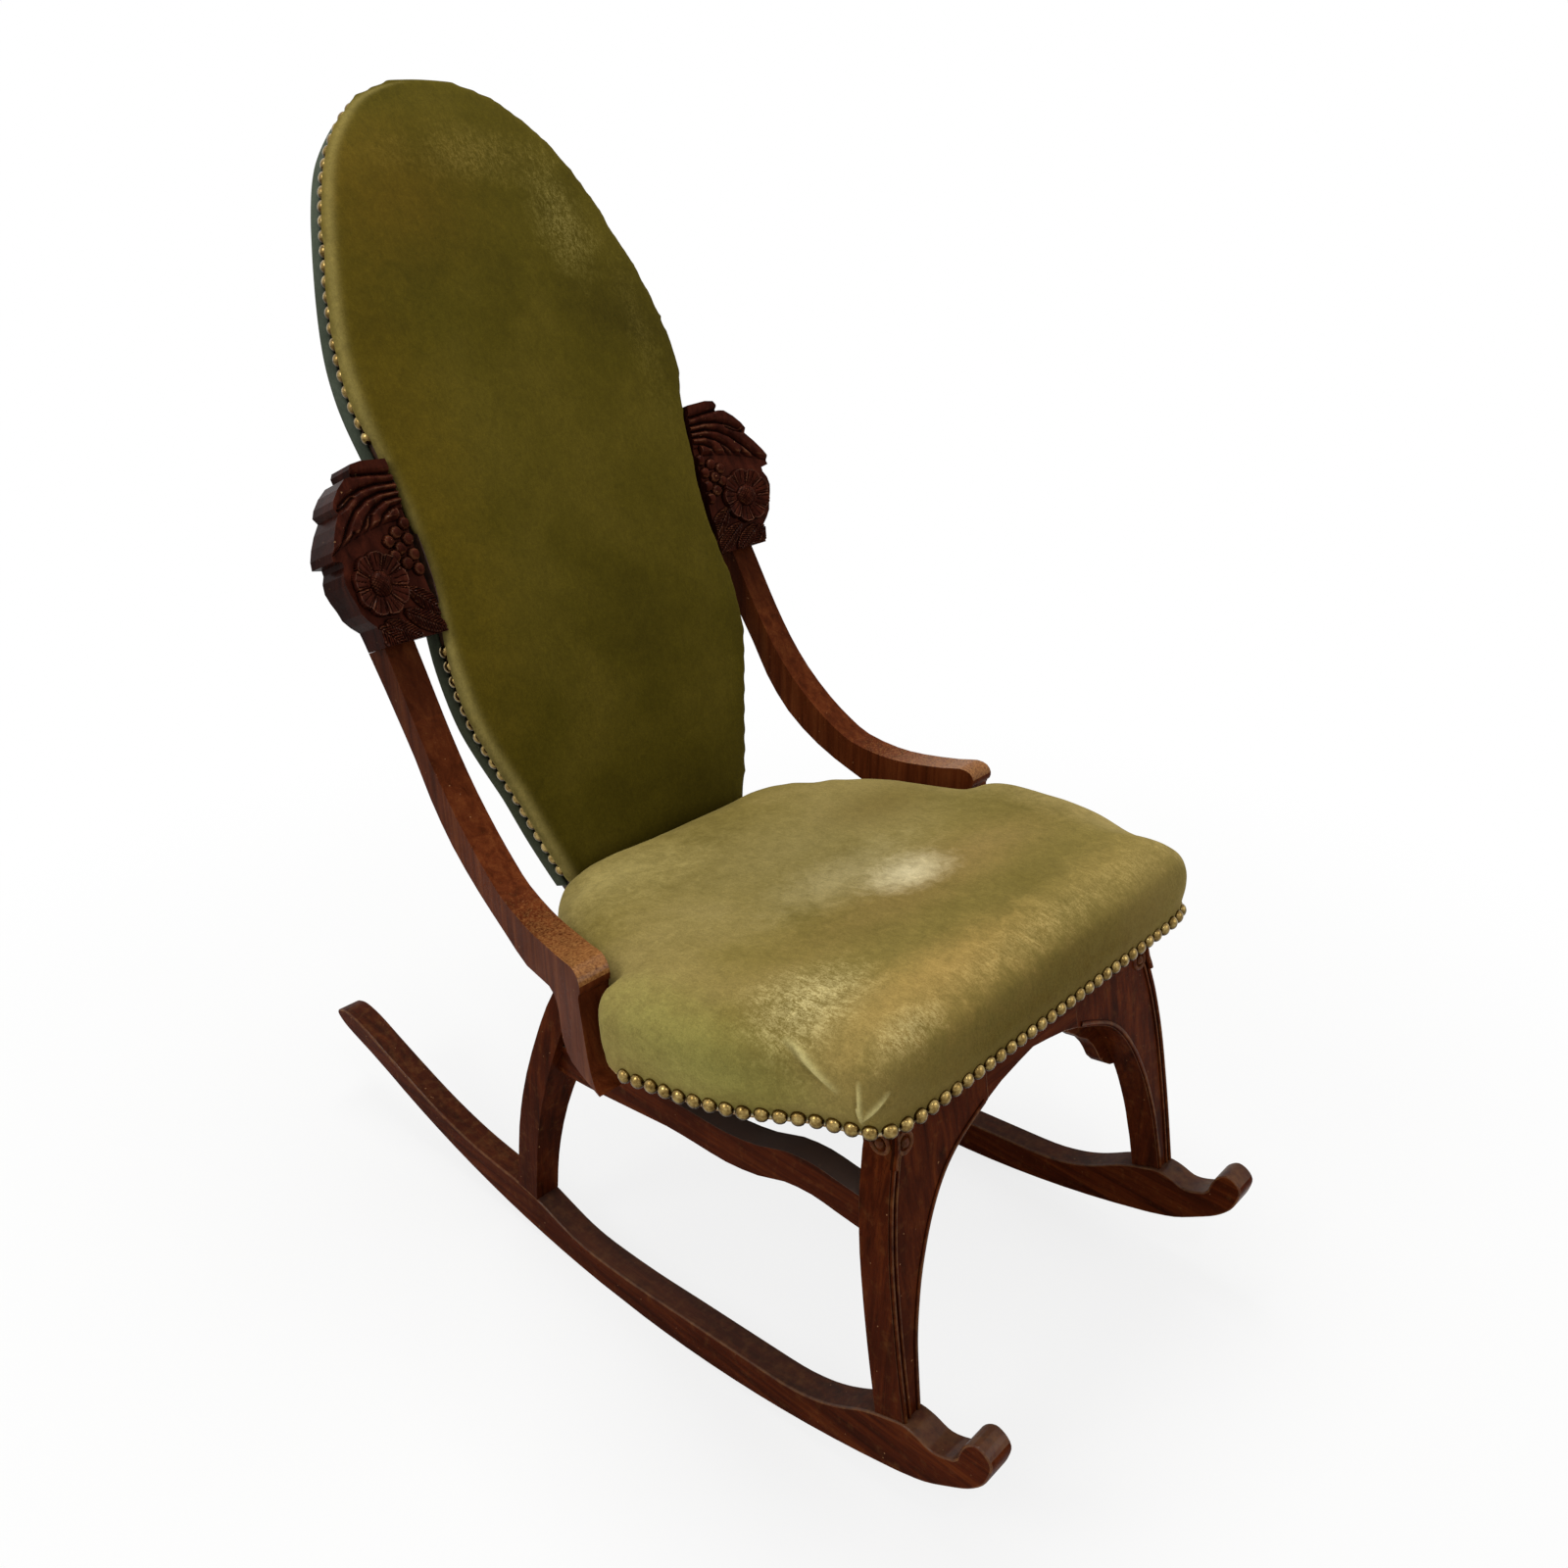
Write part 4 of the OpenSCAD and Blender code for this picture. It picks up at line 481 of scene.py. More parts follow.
def velvet(name, tones, patches, sheen, tint, pale="#cfc283"):
    """Cotton velvet: short pile that shines where it leans away, faded in clouds and rubbed in patches; some
    patches and the pale tone are painted light and shade.
    """
    finish, surface, at = new_finish(name)
    # Soft clouds a hand wide, brushed marks 3 mm wide and 10 mm long, worn fibres 2 mm long, and the pile's
    # own grain, drawn at 0.9 mm to show
    clouds = add(finish, "TexNoise", {"Vector": at, "Scale": 7.0, "Detail": 3.0, "Distortion": 0.3})
    mottle = add(finish, "TexNoise", {"Vector": at, "Scale": 70.0, "Detail": 4.0, "Roughness": 0.65,
                                      "Distortion": 0.8})
    strokes = add(finish, "Mapping", {"Vector": at, "Scale": (1 / 0.003, 1 / 0.010, 1 / 0.006)})
    brushed = add(finish, "TexNoise", {"Vector": strokes, "Scale": 1.0, "Detail": 3.0, "Roughness": 0.55,
                                       "Distortion": 1.2})
    fibres = add(finish, "TexNoise", {"Vector": at, "Scale": 480.0, "Detail": 3.0, "Roughness": 0.7,
                                      "Distortion": 1.5})
    pile = add(finish, "TexNoise", {"Vector": at, "Scale": 1100.0, "Detail": 2.0})
    uneven = add(finish, "Math", {0: mottle, 1: -1.5, 2: 0.75 + 0.8}, operation="MULTIPLY_ADD")
    ragged = add(finish, "Math", {0: clouds, 1: -1.6, 2: uneven}, operation="MULTIPLY_ADD")
    strands = add(finish, "Math", {0: brushed, 1: fibres}, operation="ADD")
    broken = add(finish, "MapRange", {"Value": strands, "From Min": 0.86, "From Max": 1.16, "To Min": 0.05})
    dark, mid, light = tones
    colour = add(finish, "ValToRGB", {"Fac": clouds}, stops=[(0.32, dark), (0.68, light), (0.5, mid)])
    for centre, size, tone, strength, worn in patches:
        nearer = add(finish, "Mapping", {"Vector": at, "Location": [-c / r for c, r in zip(centre, size)],
                                         "Scale": [1 / r for r in size]})
        d = add(finish, "VectorMath", {0: nearer}, operation="LENGTH")
        far = add(finish, "Math", {0: ragged, 1: 1.0 if worn else 0.5, 2: d.outputs["Value"]},
                  operation="MULTIPLY_ADD")
        mask = add(finish, "MapRange", {"Value": far, "From Min": -0.15, "From Max": 1.25, "To Min": strength,
                                        "To Max": 0.0}, interpolation_type="SMOOTHSTEP")
        if worn:
            mask = add(finish, "Math", {0: mask, 1: broken}, operation="MULTIPLY")
        colour = add(finish, "Mix", {0: mask, 6: colour, 7: srgb(tone)}, data_type="RGBA").outputs[2]
    # Painted sheen: the pale tone wherever the face marks it
    painted_sheen_mask = add(finish, "Attribute", attribute_name="painted_sheen")
    raised = add(finish, "Math", {0: painted_sheen_mask.outputs["Fac"], 1: 0.75}, operation="MULTIPLY")
    colour = add(finish, "Mix", {0: raised, 6: colour, 7: srgb(pale)}, data_type="RGBA").outputs[2]
    value = 1.0
    for pattern, change in ((brushed, 0.10), (mottle, 0.10), (fibres, 0.18)):
        varied = add(finish, "MapRange", {"Value": pattern, "From Min": 0.3, "From Max": 0.7,
                                          "To Min": 1 - change, "To Max": 1 + change})
        value = add(finish, "Math", {0: varied, 1: value}, operation="MULTIPLY")
    shaded = add(finish, "HueSaturation", {"Color": colour, "Value": value})
    relief = add(finish, "Math", {0: pile, 1: fibres}, operation="ADD")
    bump = add(finish, "Bump", {"Height": relief, "Strength": 0.22, "Distance": 0.0007})
    feed(finish, surface, {"Base Color": shaded, "Normal": bump, "Roughness": 0.9, "Specular IOR Level": 0.05,
                           "Sheen Weight": sheen, "Sheen Roughness": 0.3, "Sheen Tint": srgb(tint)})
    return finish, surface, at, shaded


# Each patch: its middle and half size in metres, tone and strength, and whether the pile is worn in streaks
seat_patches = [
    ((0.0, -0.06, 0.39), (0.24, 0.12, 0.2), "#8c7e4e", 0.6, False),
    # Painted shade on the front face of the cushion, turned away from the light
    ((-0.02, -0.35, 0.372), (0.30, 0.052, 0.072), "#452f08", 0.95, False),
    ((-0.09, -0.288, 0.41), (0.14, 0.042, 0.06), "#aa8c4e", 0.85, False),
    ((0.11, -0.29, 0.41), (0.13, 0.036, 0.06), "#9a8449", 0.6, False),
    ((0.02, -0.19, 0.40), (0.20, 0.05, 0.08), "#8a7040", 0.6, False),
    ((-0.127, 0.04, 0.372), (0.12, 0.07, 0.08), "#a6965c", 0.7, False),
    ((0.12, -0.055, 0.387), (0.09, 0.05, 0.06), "#6c5a2a", 0.6, False),
    # Painted highlight: a soft bright spot on the crown
    ((0.012, -0.169, 0.399), (0.050, 0.033, 0.06), "#d9cba0", 0.85, False),
    ((-0.02, -0.13, 0.395), (0.10, 0.045, 0.06), "#aa9c70", 0.5, False),
    ((-0.185, -0.236, 0.402), (0.060, 0.036, 0.04), "#cdbd84", 0.65, True),
    ((-0.160, -0.308, 0.407), (0.040, 0.014, 0.03), "#c4b47c", 0.5, True),
    ((0.0, -0.30, 0.408), (0.20, 0.02, 0.03), "#bca66a", 0.4, True),
    # Painted sheen on the side rims, left and right
    ((-0.245, -0.20, 0.37), (0.035, 0.15, 0.05), "#8f8a48", 0.7, False),
    ((0.225, -0.22, 0.39), (0.05, 0.16, 0.06), "#b09a62", 0.6, False)]
seat_tones = ("#70622e", "#7f6f38", "#8e7c46")
seat_velvet, surface, at, shaded = velvet("seat_velvet_rubbed", seat_tones, seat_patches, sheen=0.22,
                                          tint="#c8ba84")
# Under the nails the cut edge of the cloth shows, a pale line over the rail, from the front to the arms
square_to_seat = tuple(seat_place.to_3x3().col[2])
over_rail = add(seat_velvet, "VectorMath", {0: at, 1: square_to_seat}, operation="DOT_PRODUCT")
rail_line = 0.3033
edge = add(seat_velvet, "MapRange", {"Value": over_rail.outputs["Value"], "From Min": rail_line + 0.0050,
                                     "From Max": rail_line + 0.0064, "To Min": 0.85, "To Max": 0.0})
toward_rear = add(seat_velvet, "SeparateXYZ", {"Vector": at}).outputs["Y"]
nailed = add(seat_velvet, "MapRange", {"Value": toward_rear, "From Min": -0.17, "From Max": -0.15,
                                       "To Min": 1.0, "To Max": 0.0})
shown = add(seat_velvet, "Math", {0: edge, 1: nailed}, operation="MULTIPLY")
raw = add(seat_velvet, "Mix", {0: shown, 6: shaded, 7: srgb("#cfc2a0")}, data_type="RGBA")
feed(seat_velvet, surface, {"Base Color": raw.outputs[2]})


def set_down(shape, place):
    """Moves a shape drawn in millimetres to its place in the chair, with its faces outward."""
    bmesh.ops.transform(shape, matrix=place @ Matrix.Scale(0.001, 4), verts=shape.verts)
    bmesh.ops.recalc_face_normals(shape, faces=shape.faces)


def stuffed_form(outline, rings, height_of, place):
    """A closed form drawn up ring by ring from its outline, in metres."""
    shape = bmesh.new()
    order = shape.verts.layers.int.new("order")
    for i, p in enumerate(outline):
        shape.verts.new((p[0], p[1], 0))[order] = i
    top = shape.faces.new(shape.verts)
    for ring in rings:
        if ring is not rings[0]:
            made = bmesh.ops.extrude_face_region(shape, geom=[top])
            top = next(g for g in made["geom"] if isinstance(g, bmesh.types.BMFace))
        for v in top.verts:
            v.co = height_of(outline[v[order]], ring)
    set_down(shape, place)
    return shape


def plump(piece, voxel, cap, held_down, strokes=4):
    """Remeshes a form finely and lets the air of a cloth simulation swell it, by no more than cap."""
    def settle():
        done = bpy.data.meshes.new_from_object(piece.evaluated_get(bpy.context.evaluated_depsgraph_get()))
        piece.modifiers.clear()
        piece.data = done

    form = bmesh.new()
    form.from_mesh(piece.data)
    drawn = BVHTree.FromBMesh(form)
    form.free()
    fine = piece.modifiers.new("fine", "REMESH")
    fine.mode, fine.voxel_size = "VOXEL", voxel
    settle()
    for v in piece.data.vertices:
        v.co = drawn.find_nearest(v.co)[0]
    start = [v.co.copy() for v in piece.data.vertices]
    pins = piece.vertex_groups.new(name="tacked")
    pins.add([i for i, co in enumerate(start) if held_down(co)], 1.0, "REPLACE")
    cloth = piece.modifiers.new("cloth", "CLOTH")
    cloth.settings.quality = 4
    cloth.settings.mass = 0.3
    cloth.settings.tension_stiffness = cloth.settings.compression_stiffness = 18
    cloth.settings.bending_stiffness = 1.5
    cloth.settings.use_pressure = True
    cloth.settings.uniform_pressure_force = 4.0
    cloth.settings.vertex_group_mass = "tacked"
    cloth.settings.effector_weights.gravity = 0
    cloth.point_cache.frame_start, cloth.point_cache.frame_end = 1, 20
    for moment in range(1, 21):
        scene.frame_set(moment)
    settle()
    scene.frame_set(1)
    for v, co in zip(piece.data.vertices, start):
        moved = v.co - co
        if moved.length > cap:
            v.co = co + moved * (cap / moved.length)
    shape = bmesh.new()
    shape.from_mesh(piece.data)
    for _ in range(strokes):
        bmesh.ops.smooth_vert(shape, verts=shape.verts, factor=0.5, use_axis_x=True, use_axis_y=True,
                              use_axis_z=True)
    shape.to_mesh(piece.data)
    shape.free()
    rounder = piece.modifiers.new("rounder", "SUBSURF")
    rounder.levels = rounder.render_levels = 1
    settle()
    for face in piece.data.polygons:
        face.use_smooth = True


half = []
for stretch in (seat_line[:notch_starts], seat_line[notch_starts:]):
    half += smooth_through([(x * seat_wide, v * seat_deep, w) for x, v, w in stretch], 1)
seat_outline = half + [(-x, v, w) for x, v, w in reversed(half)][:-1]


def seat_point(p, ring):
    out, drawn, k = ring
    d = drawn * seat_deep / 2 - out * 8 * p[2]
    z = seat_rim * k if k <= 1 else seat_rim + seat_crown * (k - 1)
    # At the very rear the cover comes out over the foot of the back, higher than elsewhere
    if p[1] > 0.985 * seat_deep and z < 49.8:
        z = 31.2 + z * (1 - 31.2 / 49.8)
    middle = seat_deep / 2
    return Vector((p[0] * (1 - d / seat_wide), middle + (p[1] - middle) * (1 - d / middle), z))


seat_cushion = finish_mesh(stuffed_form(seat_outline, seat_rings, seat_point, seat_place), "seat_cushion",
                           seat_velvet, "seat_velvet", "seat_cover", "seat_stuffing")
to_seat = seat_place.inverted()
plump(seat_cushion, voxel=0.005, cap=0.004, held_down=lambda co: (to_seat @ co).z < 0.012)


def pinch(piece, line, wide, deep):
    """Presses a sharp fold into the cover along a line, with a roll of cloth on one side of it and a painted
    highlight along the roll.
    """
    shape = bmesh.new()
    shape.from_mesh(piece.data)
    painted_sheen = shape.verts.layers.float.get("painted_sheen") or shape.verts.layers.float.new("painted_sheen")
    start, end = (piece.closest_point_on_mesh(Vector(p))[1] for p in line)
    run = end - start

    def from_fold(co):
        along = (co - start).dot(run) / run.length_squared
        return along, co - start - run * along

    def close_by(v):
        along, off = from_fold(v.co)
        return -0.2 < along < 1.2 and off.length < 3.4 * wide

    for _ in range(2):
        close = [e for e in shape.edges if all(close_by(v) for v in e.verts)]
        bmesh.ops.subdivide_edges(shape, edges=close, cuts=1, use_grid_fill=True)
    shape.normal_update()
    moves = []
    for v in shape.verts:
        along, off = from_fold(v.co)
        if -0.15 < along < 1.15 and off.length < 5 * wide:
            d = off.dot(v.normal.cross(run).normalized()) / wide
            fade = max(0.0, math.sin(math.pi * min(1, max(0, (along + 0.15) / 1.3)))) ** 0.7
            rise = deep * fade * (math.exp(-((d - 1.1) ** 2)) - 0.9 * math.exp(-((d / 0.6) ** 2)))
            moves.append((v, v.normal * rise, fade * math.exp(-((d - 1.0) ** 2) * 1.4)))
    for v, move, pale in moves:
        v.co += move
        v[painted_sheen] = max(v[painted_sheen], pale)
    shape.to_mesh(piece.data)
    shape.free()
    for face in piece.data.polygons:
        face.use_smooth = True


for line, wide, deep in ((((-0.2199, -0.2485, 0.3963), (-0.2190, -0.2860, 0.3745)), 0.0034, 0.0030),
                         (((-0.2133, -0.3029, 0.3849), (-0.2090, -0.3050, 0.3560)), 0.0022, 0.0016),
                         (((-0.2070, -0.3090, 0.3570), (-0.2000, -0.3240, 0.3790)), 0.0022, 0.0016),
                         (((0.2133, -0.3029, 0.3849), (0.2090, -0.3050, 0.3560)), 0.0022, 0.0016)):
    pinch(seat_cushion, line, wide, deep)

# Back cushion: velvet over a thin pad of hair on webbing, in one tall arched panel that bows forward.
# Tacked to the edge of the frame behind the nails; the pile is darkest in the middle, and painted sheen makes
# it paler along the sitter's right edge.
back_long, back_wide, back_bow, foot = 743, 174.5, 25, 34.2
# Half the outline from the foot to the top: share of the length, and share of the half width
back_line = [
    (0, .53), (.066, .64), (.12, .72), (.175, .79), (.263, .914), (.35, .947), (.438, .92), (.526, .94),
    (.613, .99), (.657, 1), (.70, .983), (.745, .94), (.79, .883), (.832, .822), (.876, .748), (.92, .646),
    (.964, .475), (.985, .33), (.997, .16), (1, 0)]


def bow(s):
    """How far the back stands forward of its plane at a height, in millimetres."""
    return 4 * back_bow * (s / back_long) * (1 - s / back_long)


half = [(w * back_wide, s * back_long) for s, w in smooth_through(back_line, 3)]
cut = next(i for i, p in enumerate(half) if p[1] > foot)
a, b = half[cut - 1], half[cut]
t = (foot - a[1]) / (b[1] - a[1])
half = [(a[0] + (b[0] - a[0]) * t, foot)] + half[cut:]
back_outline = half + [(-x, s) for x, s in reversed(half)][1:]
back_centre = (foot + back_long) / 2
# Rings from the rear to the crown: inset, share of the outline, and height, behind the bow or before it
back_rings = [
    (0, 1, -.46), (0, 1, -.30), (-.15, 1, -.18), (-.28, 1, -.04), (-.22, 1, .06), (-.02, 1, .20),
    (.22, .98, .32), (.32, .92, .44), (.32, .80, .64), (.32, .62, .82), (.32, .40, .94), (.32, .18, .99)]
frame_deep, pad_high = 34, 14


def back_point(p, ring):
    inset, share, n = ring
    # The cover swells past the frame, but not beside the carved blocks
    if inset < 0:
        inset *= min(1.0, max(0.0, (abs(p[1] - 356) - 74) / 34)) ** 0.7
    x, s = p[0] * share, back_centre + (p[1] - back_centre) * share
    d = inset * 34
    x, s = x * (1 - d / back_wide), back_centre + (s - back_centre) * (1 - d / (back_long / 2))
    return Vector((x, s, bow(s) + (n * frame_deep if n < 0 else n * pad_high)))


def width_at(edge, s):
    """Half the width of an outline at a height, in millimetres."""
    above = next((i for i, p in enumerate(edge) if p[1] >= s), len(edge) - 1)
    a, b = edge[max(0, above - 1)], edge[above]
    return a[0] + (b[0] - a[0]) * (0 if a[1] == b[1] else max(0, min(1, (s - a[1]) / (b[1] - a[1]))))


back_patches = [
    # Painted sheen: a gold strip down the sitter's right edge
    ((-0.150, 0.27, 0.70), (0.06, 0.30, 0.42), "#5c490d", 0.45, False),
    ((-0.08, 0.33, 0.90), (0.10, 0.06, 0.10), "#5c460f", 0.55, False),
    ((0.085, 0.315, 0.87), (0.035, 0.05, 0.075), "#8a7c42", 0.55, True),
    ((0.02, 0.345, 0.925), (0.08, 0.028, 0.03), "#7e6c34", 0.45, True),
    ((0.135, 0.27, 0.78), (0.025, 0.06, 0.09), "#74662e", 0.35, True)]
back_velvet = velvet("back_velvet_olive", ("#40370a", "#4b410d", "#564a14"), back_patches, sheen=0.2,
                     tint="#8a7a30", pale="#b3a260")[0]
back_cushion = finish_mesh(stuffed_form(back_outline, back_rings, back_point, block_place), "back_cushion",
                           back_velvet, "back_velvet", "back_cover", "back_stuffing")
to_back = block_place.inverted()


def behind_bow(co):
    """True where the cover lies against the frame, a millimetre behind its bowed front."""
    return (to_back @ co).z < bow((to_back @ co).y * 1000) / 1000 - 0.001


plump(back_cushion, voxel=0.006, cap=0.003, held_down=behind_bow, strokes=10)
# Painted sheen: a pale band along the sitter's right edge, where the pile leans outward, fainter toward the
# top
shape = bmesh.new()
shape.from_mesh(back_cushion.data)
painted_sheen = shape.verts.layers.float.new("painted_sheen")
for v in shape.verts:
    x, s, _ = (to_back @ v.co) * 1000
    inside = (width_at(half, s) - abs(x)) / 5
    v[painted_sheen] = (0.72 - 0.34 * s / back_long) * math.exp(-inside * inside) * min(1.0, max(0.0, -x / 60))
shape.to_mesh(back_cushion.data)
shape.free()

# Side band and rear panel of the back: the same velvet, painted a darker grey-green as a copy in shade.
# The band wraps the edge of the frame behind the nails and the panel closes the rear, both pulled tight.
band_patches = [((0, 0.16, 0.45), (0.4, 0.2, 0.22), "#3a3a22", 0.7, False)]
band_velvet = velvet("band_velvet_shaded_copy", ("#30362b", "#3e4438", "#4c5346"), band_patches, sheen=0.2,
                     tint="#8a9078")[0]
back_frame = ("back_stile_left", "back_stile_right", "crest_rail")
band_front, band_wide = 15.9, 0.0185
shape = bmesh.new()
edge_loop = [shape.verts.new((x, s, bow(s) - band_front)) for x, s in back_outline]
edges = [shape.edges.new((a, b)) for a, b in zip(edge_loop, edge_loop[1:])]
for deep in (22, 28, 32.5, 33.9):
    made = bmesh.ops.extrude_edge_only(shape, edges=edges)["geom"]
    edges = [g for g in made if isinstance(g, bmesh.types.BMEdge) and all(v in made for v in g.verts)]
    for v in {v for e in edges for v in e.verts}:
        v.co.z = bow(v.co.y) - deep
        if deep > 33:
            v.co.x *= 0.992
for v in shape.verts:
    v.co.x *= 1.0 + 0.003 * math.sin(math.pi * min(1, max(0, (bow(v.co.y) - v.co.z - band_front) / 18)))
set_down(shape, block_place)
band_area = sum(f.calc_area() for f in shape.faces)
band = finish_mesh(shape, "back_side_band", band_velvet, "band_velvet", "back_band")
thick = band.modifiers.new("cloth", "SOLIDIFY")
thick.thickness, thick.offset = 0.0022, -1

shape = bmesh.new()
bmesh.ops.create_grid(shape, x_segments=24, y_segments=64, size=0.5)
panel_edge = [(x * 0.981, back_centre + (s - back_centre) * 0.991) for x, s in half]
for v in shape.verts:
    # The rows close up toward the top, where the arch turns fastest
    s = foot + 3.3 + (1 - (0.5 - min(0.5, v.co.y)) ** 1.6) * (back_long - foot - 7.0)
    v.co = Vector((v.co.x * 2 * width_at(panel_edge, s), s, bow(s) - 31.6))
bmesh.ops.remove_doubles(shape, verts=shape.verts, dist=0.01)
set_down(shape, block_place)
if sum((f.normal.y for f in shape.faces)) < 0:
    bmesh.ops.reverse_faces(shape, faces=shape.faces)
panel_area = sum(f.calc_area() for f in shape.faces)
panel = finish_mesh(shape, "back_rear_panel", band_velvet, "band_velvet", "back_panel")
thick = panel.modifiers.new("cloth", "SOLIDIFY")
thick.thickness, thick.offset = 0.0015, -1

# Upholstery nails: pressed brass domes, 11 to 12 mm across, gone brown in the hollows between them.
# Driven side by side along the lower edge of the seat cover and round the edge of the back.
antique_brass, surface, at = new_finish("antique_brass_pressed")
tarnish = add(antique_brass, "TexNoise", {"Vector": at, "Scale": 260.0, "Detail": 4.0, "Roughness": 0.65})
tone = add(antique_brass, "ValToRGB", {"Fac": tarnish},
           stops=[(0.30, "#56421f"), (0.70, "#bda66a"), (0.48, "#8f7542")])
# Each dome is painted lighter where it faces up and out and darker underneath, painted highlight and shade,
# over the polish on its top and the brown tarnish at its foot
wear_and_painted_light = add(antique_brass, "Attribute", attribute_name="wear_and_painted_light")
tarnish_and_painted_shade = add(antique_brass, "MapRange", {"Value": wear_and_painted_light.outputs["Fac"], "From Min": 0.45, "From Max": 1.0,
                                        "To Min": 0.95, "To Max": 0.0})
tarnished_and_shaded_tone = add(antique_brass, "Mix", {0: tarnish_and_painted_shade, 6: tone, 7: srgb("#38270f")}, data_type="RGBA")
dull = add(antique_brass, "MapRange", {"Value": tarnish, "From Min": 0.3, "From Max": 0.7, "To Min": 0.32,
                                       "To Max": 0.16})
feed(antique_brass, surface, {"Base Color": tarnished_and_shaded_tone.outputs[2], "Roughness": dull, "Metallic": 1.0})
dome_radius, dome_height = 0.00585, 0.80
for node, driven_to in (("seat_nails", 0.0096), ("back_nails", 0.0082)):
    driven = bmesh.new()
    driven.from_mesh(nodes[node].data)
    bmesh.ops.remove_doubles(driven, verts=driven.verts, dist=4e-6)
    shape = bmesh.new()
    wear_and_painted_light = shape.verts.layers.float.new("wear_and_painted_light")
    driven.verts.index_update()
    loose = set(driven.verts)
    for first in driven.verts:
        if first not in loose:
            continue
        loose.remove(first)
        nail = [first]
        for v in nail:
            near = {e.other_vert(v) for e in v.link_edges} & loose
            loose -= near
            nail.extend(near)
        # Sorted, so that every run finds the same point
        nail.sort(key=lambda v: v.index)
        # The point of the nail is what lies farthest from its middle, and its head faces the other way
        middle = sum((v.co for v in nail), Vector()) / len(nail)
        point = max(nail, key=lambda v: (v.co - middle).length).co
        out = (middle - point).normalized()
        seat = Matrix.Translation(point + out * driven_to) @ out.to_track_quat("Z", "Y").to_matrix().to_4x4()
        dome = bmesh.ops.create_uvsphere(shape, u_segments=16, v_segments=10, radius=dome_radius,
                                         matrix=seat @ Matrix.Diagonal((1, 1, dome_height, 1)))
        # Painted light: each dome lighter where it faces up and out, darker underneath
        painted_light_from = (out + Vector((0, 0, 0.8))).normalized()
        for v in dome["verts"]:
            v[wear_and_painted_light] = 0.5 + 0.5 * (v.co - seat.translation).normalized().dot(painted_light_from)
    driven.free()
    finish_mesh(shape, node + "_domed", antique_brass, "nail_brass", node, crease=80)

# What the upholstery hides: beech frame, webbing, hessian, the black cloth under the seat and the screws.
# Sawn beech dowelled together, jute webbing strained over it, then hessian, then the stuffing.
def plain_wood(name, tones):
    """Bare sawn beech, with its short flecks 0.6 mm wide."""
    finish, surface, at = new_finish(name)
    short = add(finish, "Mapping", {"Vector": at, "Scale": (1600, 220, 220)})
    fleck = add(finish, "TexNoise", {"Vector": short, "Scale": 1.0, "Detail": 3.0})
    tone = add(finish, "ValToRGB", {"Fac": fleck}, stops=[(0.35, tones[0]), (0.65, tones[1])])
    bump = add(finish, "Bump", {"Height": fleck, "Strength": 0.2, "Distance": 0.0004})
    feed(finish, surface, {"Base Color": tone, "Normal": bump, "Roughness": 0.65})
    return finish


def woven(name, tones, pitch):
    """A plain weave at its real thread spacing."""
    finish, surface, at = new_finish(name)
    across, along = (add(finish, "TexWave", {"Vector": at, "Scale": 0.314 / pitch, "Distortion": 0.6,
                                             "Detail": 1.0}, bands_direction=way) for way in "XY")
    threads = add(finish, "Math", {0: across.outputs["Fac"], 1: along.outputs["Fac"]}, operation="MULTIPLY")
    tone = add(finish, "ValToRGB", {"Fac": threads}, stops=[(0.05, tones[0]), (0.8, tones[1])])
    bump = add(finish, "Bump", {"Height": threads, "Strength": 0.4, "Distance": 0.0005})
    feed(finish, surface, {"Base Color": tone, "Normal": bump, "Roughness": 0.85})
    return finish


beech = plain_wood("sawn_beech", ("#a07a4c", "#c6a06c"))
# Where the frame could be seen from behind, it was brushed with brown stain
stained = plain_wood("stained_beech", ("#2f1a0d", "#4a2c17"))
jute = woven("jute_weave", ("#5e4a2c", "#b39a6a"), pitch=0.0016)
black_lining = woven("black_lining_weave", ("#0d0d0e", "#2a2a2d"), pitch=0.0009)
steel, surface, at = new_finish("wood_screw_steel")
turned = add(steel, "TexNoise", {"Vector": at, "Scale": 900.0, "Detail": 2.0})
tone = add(steel, "ValToRGB", {"Fac": turned}, stops=[(0.3, "#6c6f71"), (0.7, "#a7aaac")])
feed(steel, surface, {"Base Color": tone, "Metallic": 1.0, "Roughness": 0.4})
for finish, hidden in (
    (beech, ("seat_rail_front", "seat_rail_left", "seat_rail_right", "corner_blocks", "back_mid_rail",
             "leg_dowels", "arm_dowels")),
    (stained, ("seat_rail_back", "back_stile_left", "back_stile_right", "crest_rail", "back_foot_rail")),
    (jute, ("seat_webbing", "back_webbing")),
    (steel, ("arm_screws", "block_screws", "back_screws"))):
    for node in hidden:
        nodes[node].data.materials.clear()
        nodes[node].data.materials.append(finish)
seat_frame = ("seat_rail_front", "seat_rail_back", "seat_rail_left", "seat_rail_right")
for node, finish, slot, held_by in (("seat_hessian", jute, "linen", seat_frame),
                                    ("back_hessian", jute, "linen", back_frame),
                                    ("dust_cover", black_lining, "black_cloth", seat_frame)):
    shape = joiner_copy(node)
    cloth_area = sum(f.calc_area() for f in shape.faces) / 2
    low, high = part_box(node)
    sheet = finish_mesh(shape, node + "_tacked", finish, slot, node)
    deep = math.hypot(high[1] - low[1], high[2] - low[2])

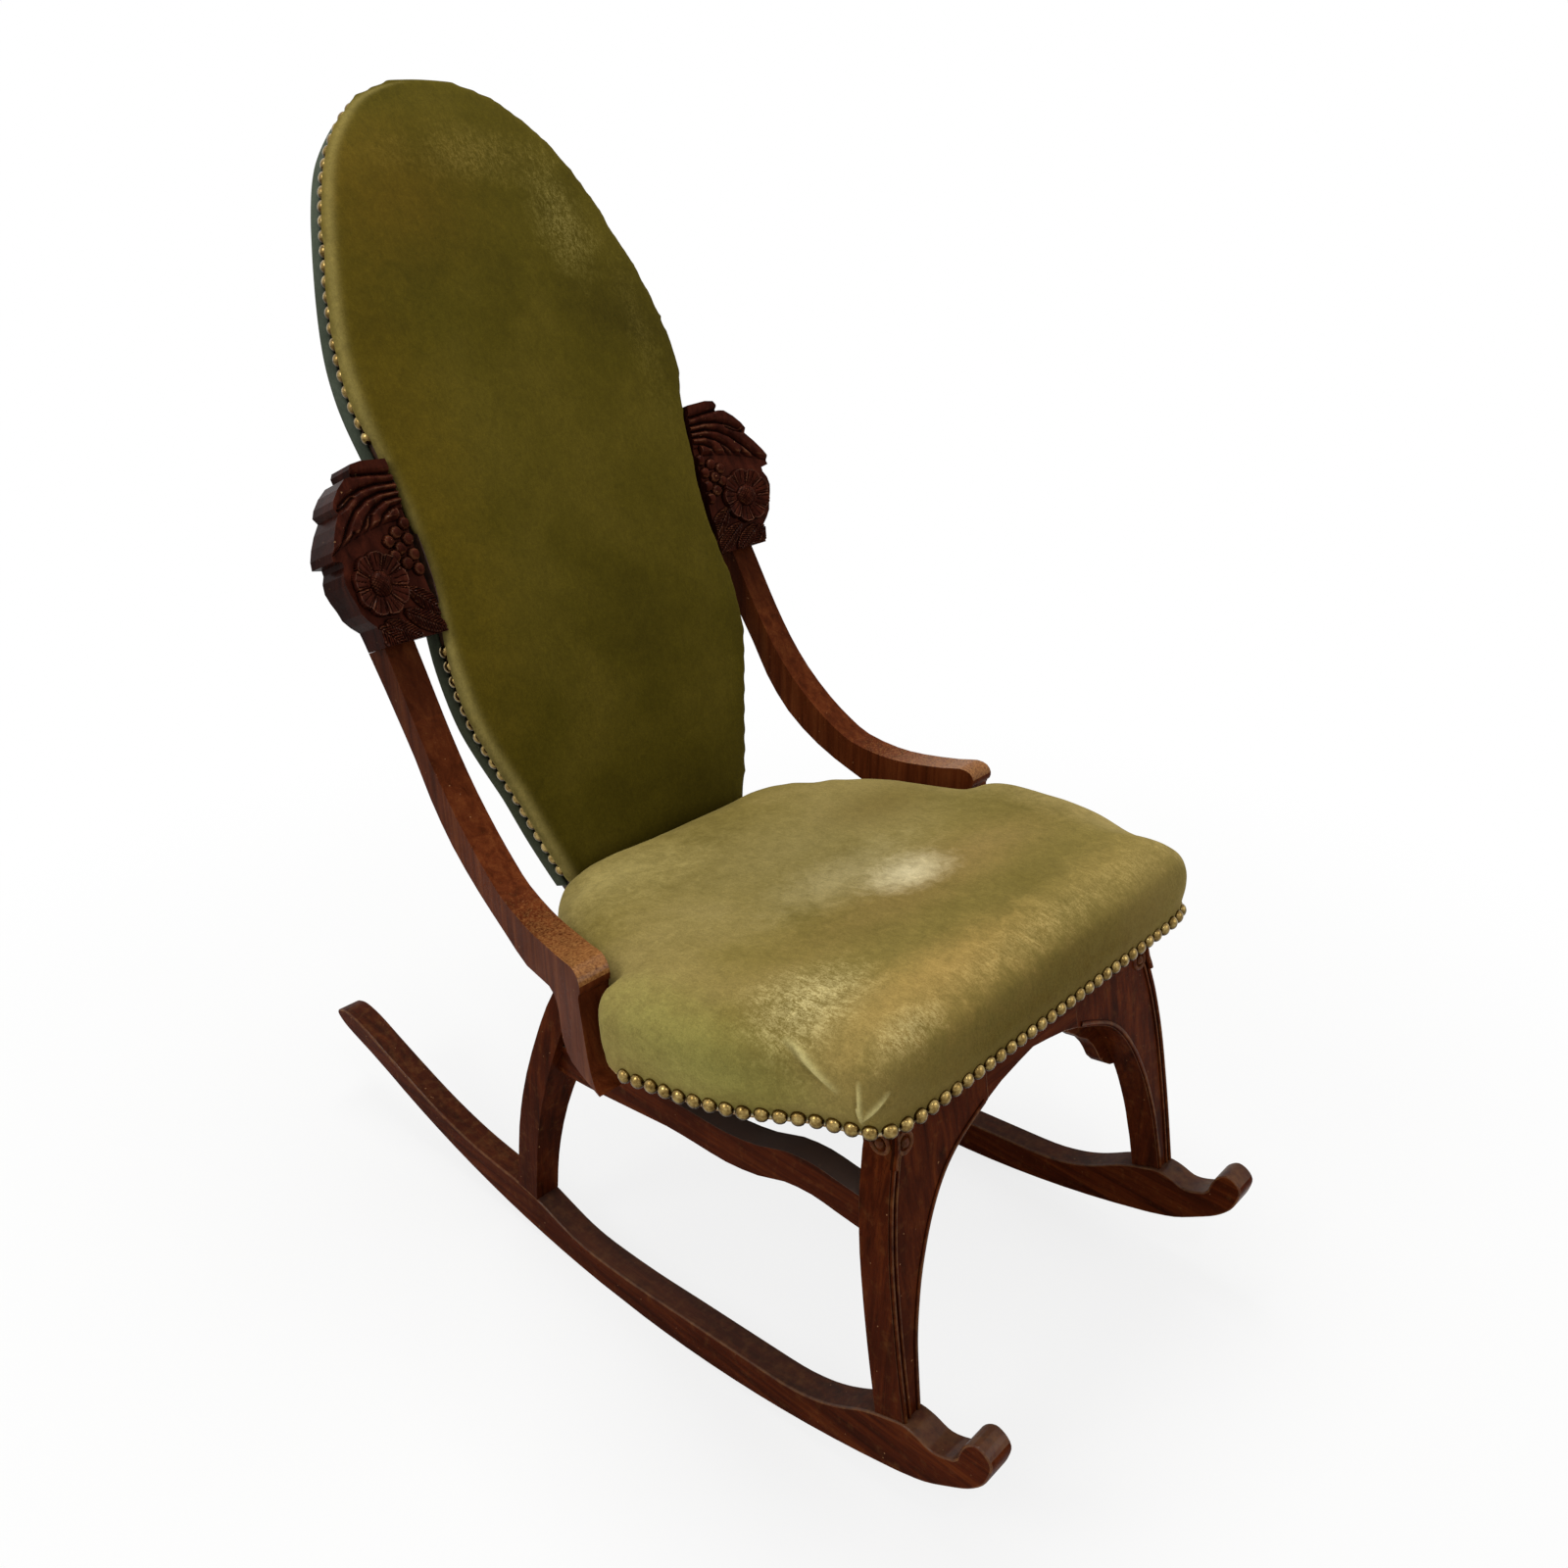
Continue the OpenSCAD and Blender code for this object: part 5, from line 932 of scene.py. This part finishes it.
# Pale floor, soft studio light and the camera where the photograph was taken from.
# The floor keeps the chair's shadow near it and runs out into the white background.
shape = bmesh.new()
bmesh.ops.create_grid(shape, x_segments=1, y_segments=1, size=6)
mesh = bpy.data.meshes.new("studio_floor")
shape.to_mesh(mesh)
shape.free()
floor = bpy.data.objects.new("studio_floor", mesh)
scene.collection.objects.link(floor)
paper, surface, at = new_finish("pale_paper")
feed(paper, surface, {"Base Color": srgb("#f4f4f2"), "Roughness": 0.9})
seen = add(paper, "LightPath")
glow = add(paper, "Emission", {"Color": (1, 1, 1, 1), "Strength": 1.0})
away = add(paper, "VectorMath", {0: at}, operation="LENGTH")
fades = add(paper, "MapRange", {"Value": away.outputs["Value"], "From Min": 0.45, "From Max": 1.3,
                                "To Min": 0.80, "To Max": 1.0}, interpolation_type="SMOOTHSTEP")
lit = add(paper, "Math", {0: seen.outputs["Is Camera Ray"], 1: fades}, operation="MULTIPLY")
blend = add(paper, "MixShader", {0: lit, 1: surface, 2: glow})
feed(paper, paper.node_tree.nodes["Material Output"], {"Surface": blend})
mesh.materials.append(paper)

world = bpy.data.worlds.new("studio")
scene.world = world
world.use_nodes = True
ray = add(world, "LightPath")
shown = ray.outputs["Is Camera Ray"]
for also in ("Is Glossy Ray", "Is Transmission Ray"):
    shown = add(world, "Math", {0: shown, 1: ray.outputs[also]}, operation="MAXIMUM")
level = add(world, "MapRange", {"Value": shown, "To Min": 0.44, "To Max": 1.0})
feed(world, world.node_tree.nodes["Background"], {"Color": (1, 1, 1, 1), "Strength": level})


def aimed(name, data, place, ahead):
    """A lamp or the camera, at its place and looking ahead."""
    holder = bpy.data.objects.new(name, data)
    scene.collection.objects.link(holder)
    holder.location = place
    holder.rotation_mode = "QUATERNION"
    holder.rotation_quaternion = Vector(ahead).to_track_quat("-Z", "Y")
    return holder


for name, place, aim, size, power in (
    ("window", (-2.0, 0.4, 2.0), (0, 0, 0.5), (0.9, 1.1), 14),
    ("ceiling", (0.1, 0.5, 2.5), (0, -0.05, 0.4), (1.2, 1.0), 27),
    ("front", (1.0, -2.2, 1.6), (0, -0.1, 0.5), (1.4, 1.2), 9),
    ("lamp", (-0.9, -1.5, 2.6), (-0.1, -0.1, 0.4), (0.28, 0.28), 5)):
    lamp = bpy.data.lights.new(name, "AREA")
    lamp.shape, lamp.size, lamp.size_y, lamp.energy = "RECTANGLE", size[0], size[1], power
    aimed(name, lamp, place, Vector(aim) - Vector(place))
camera = bpy.data.cameras.new("camera")
camera.lens, camera.sensor_width = 31.49, 36
scene.camera = aimed("camera", camera, (-0.77134, -0.75968, 0.93729), (0.6646, 0.6160, -0.4228))
scene.view_settings.view_transform = "Standard"
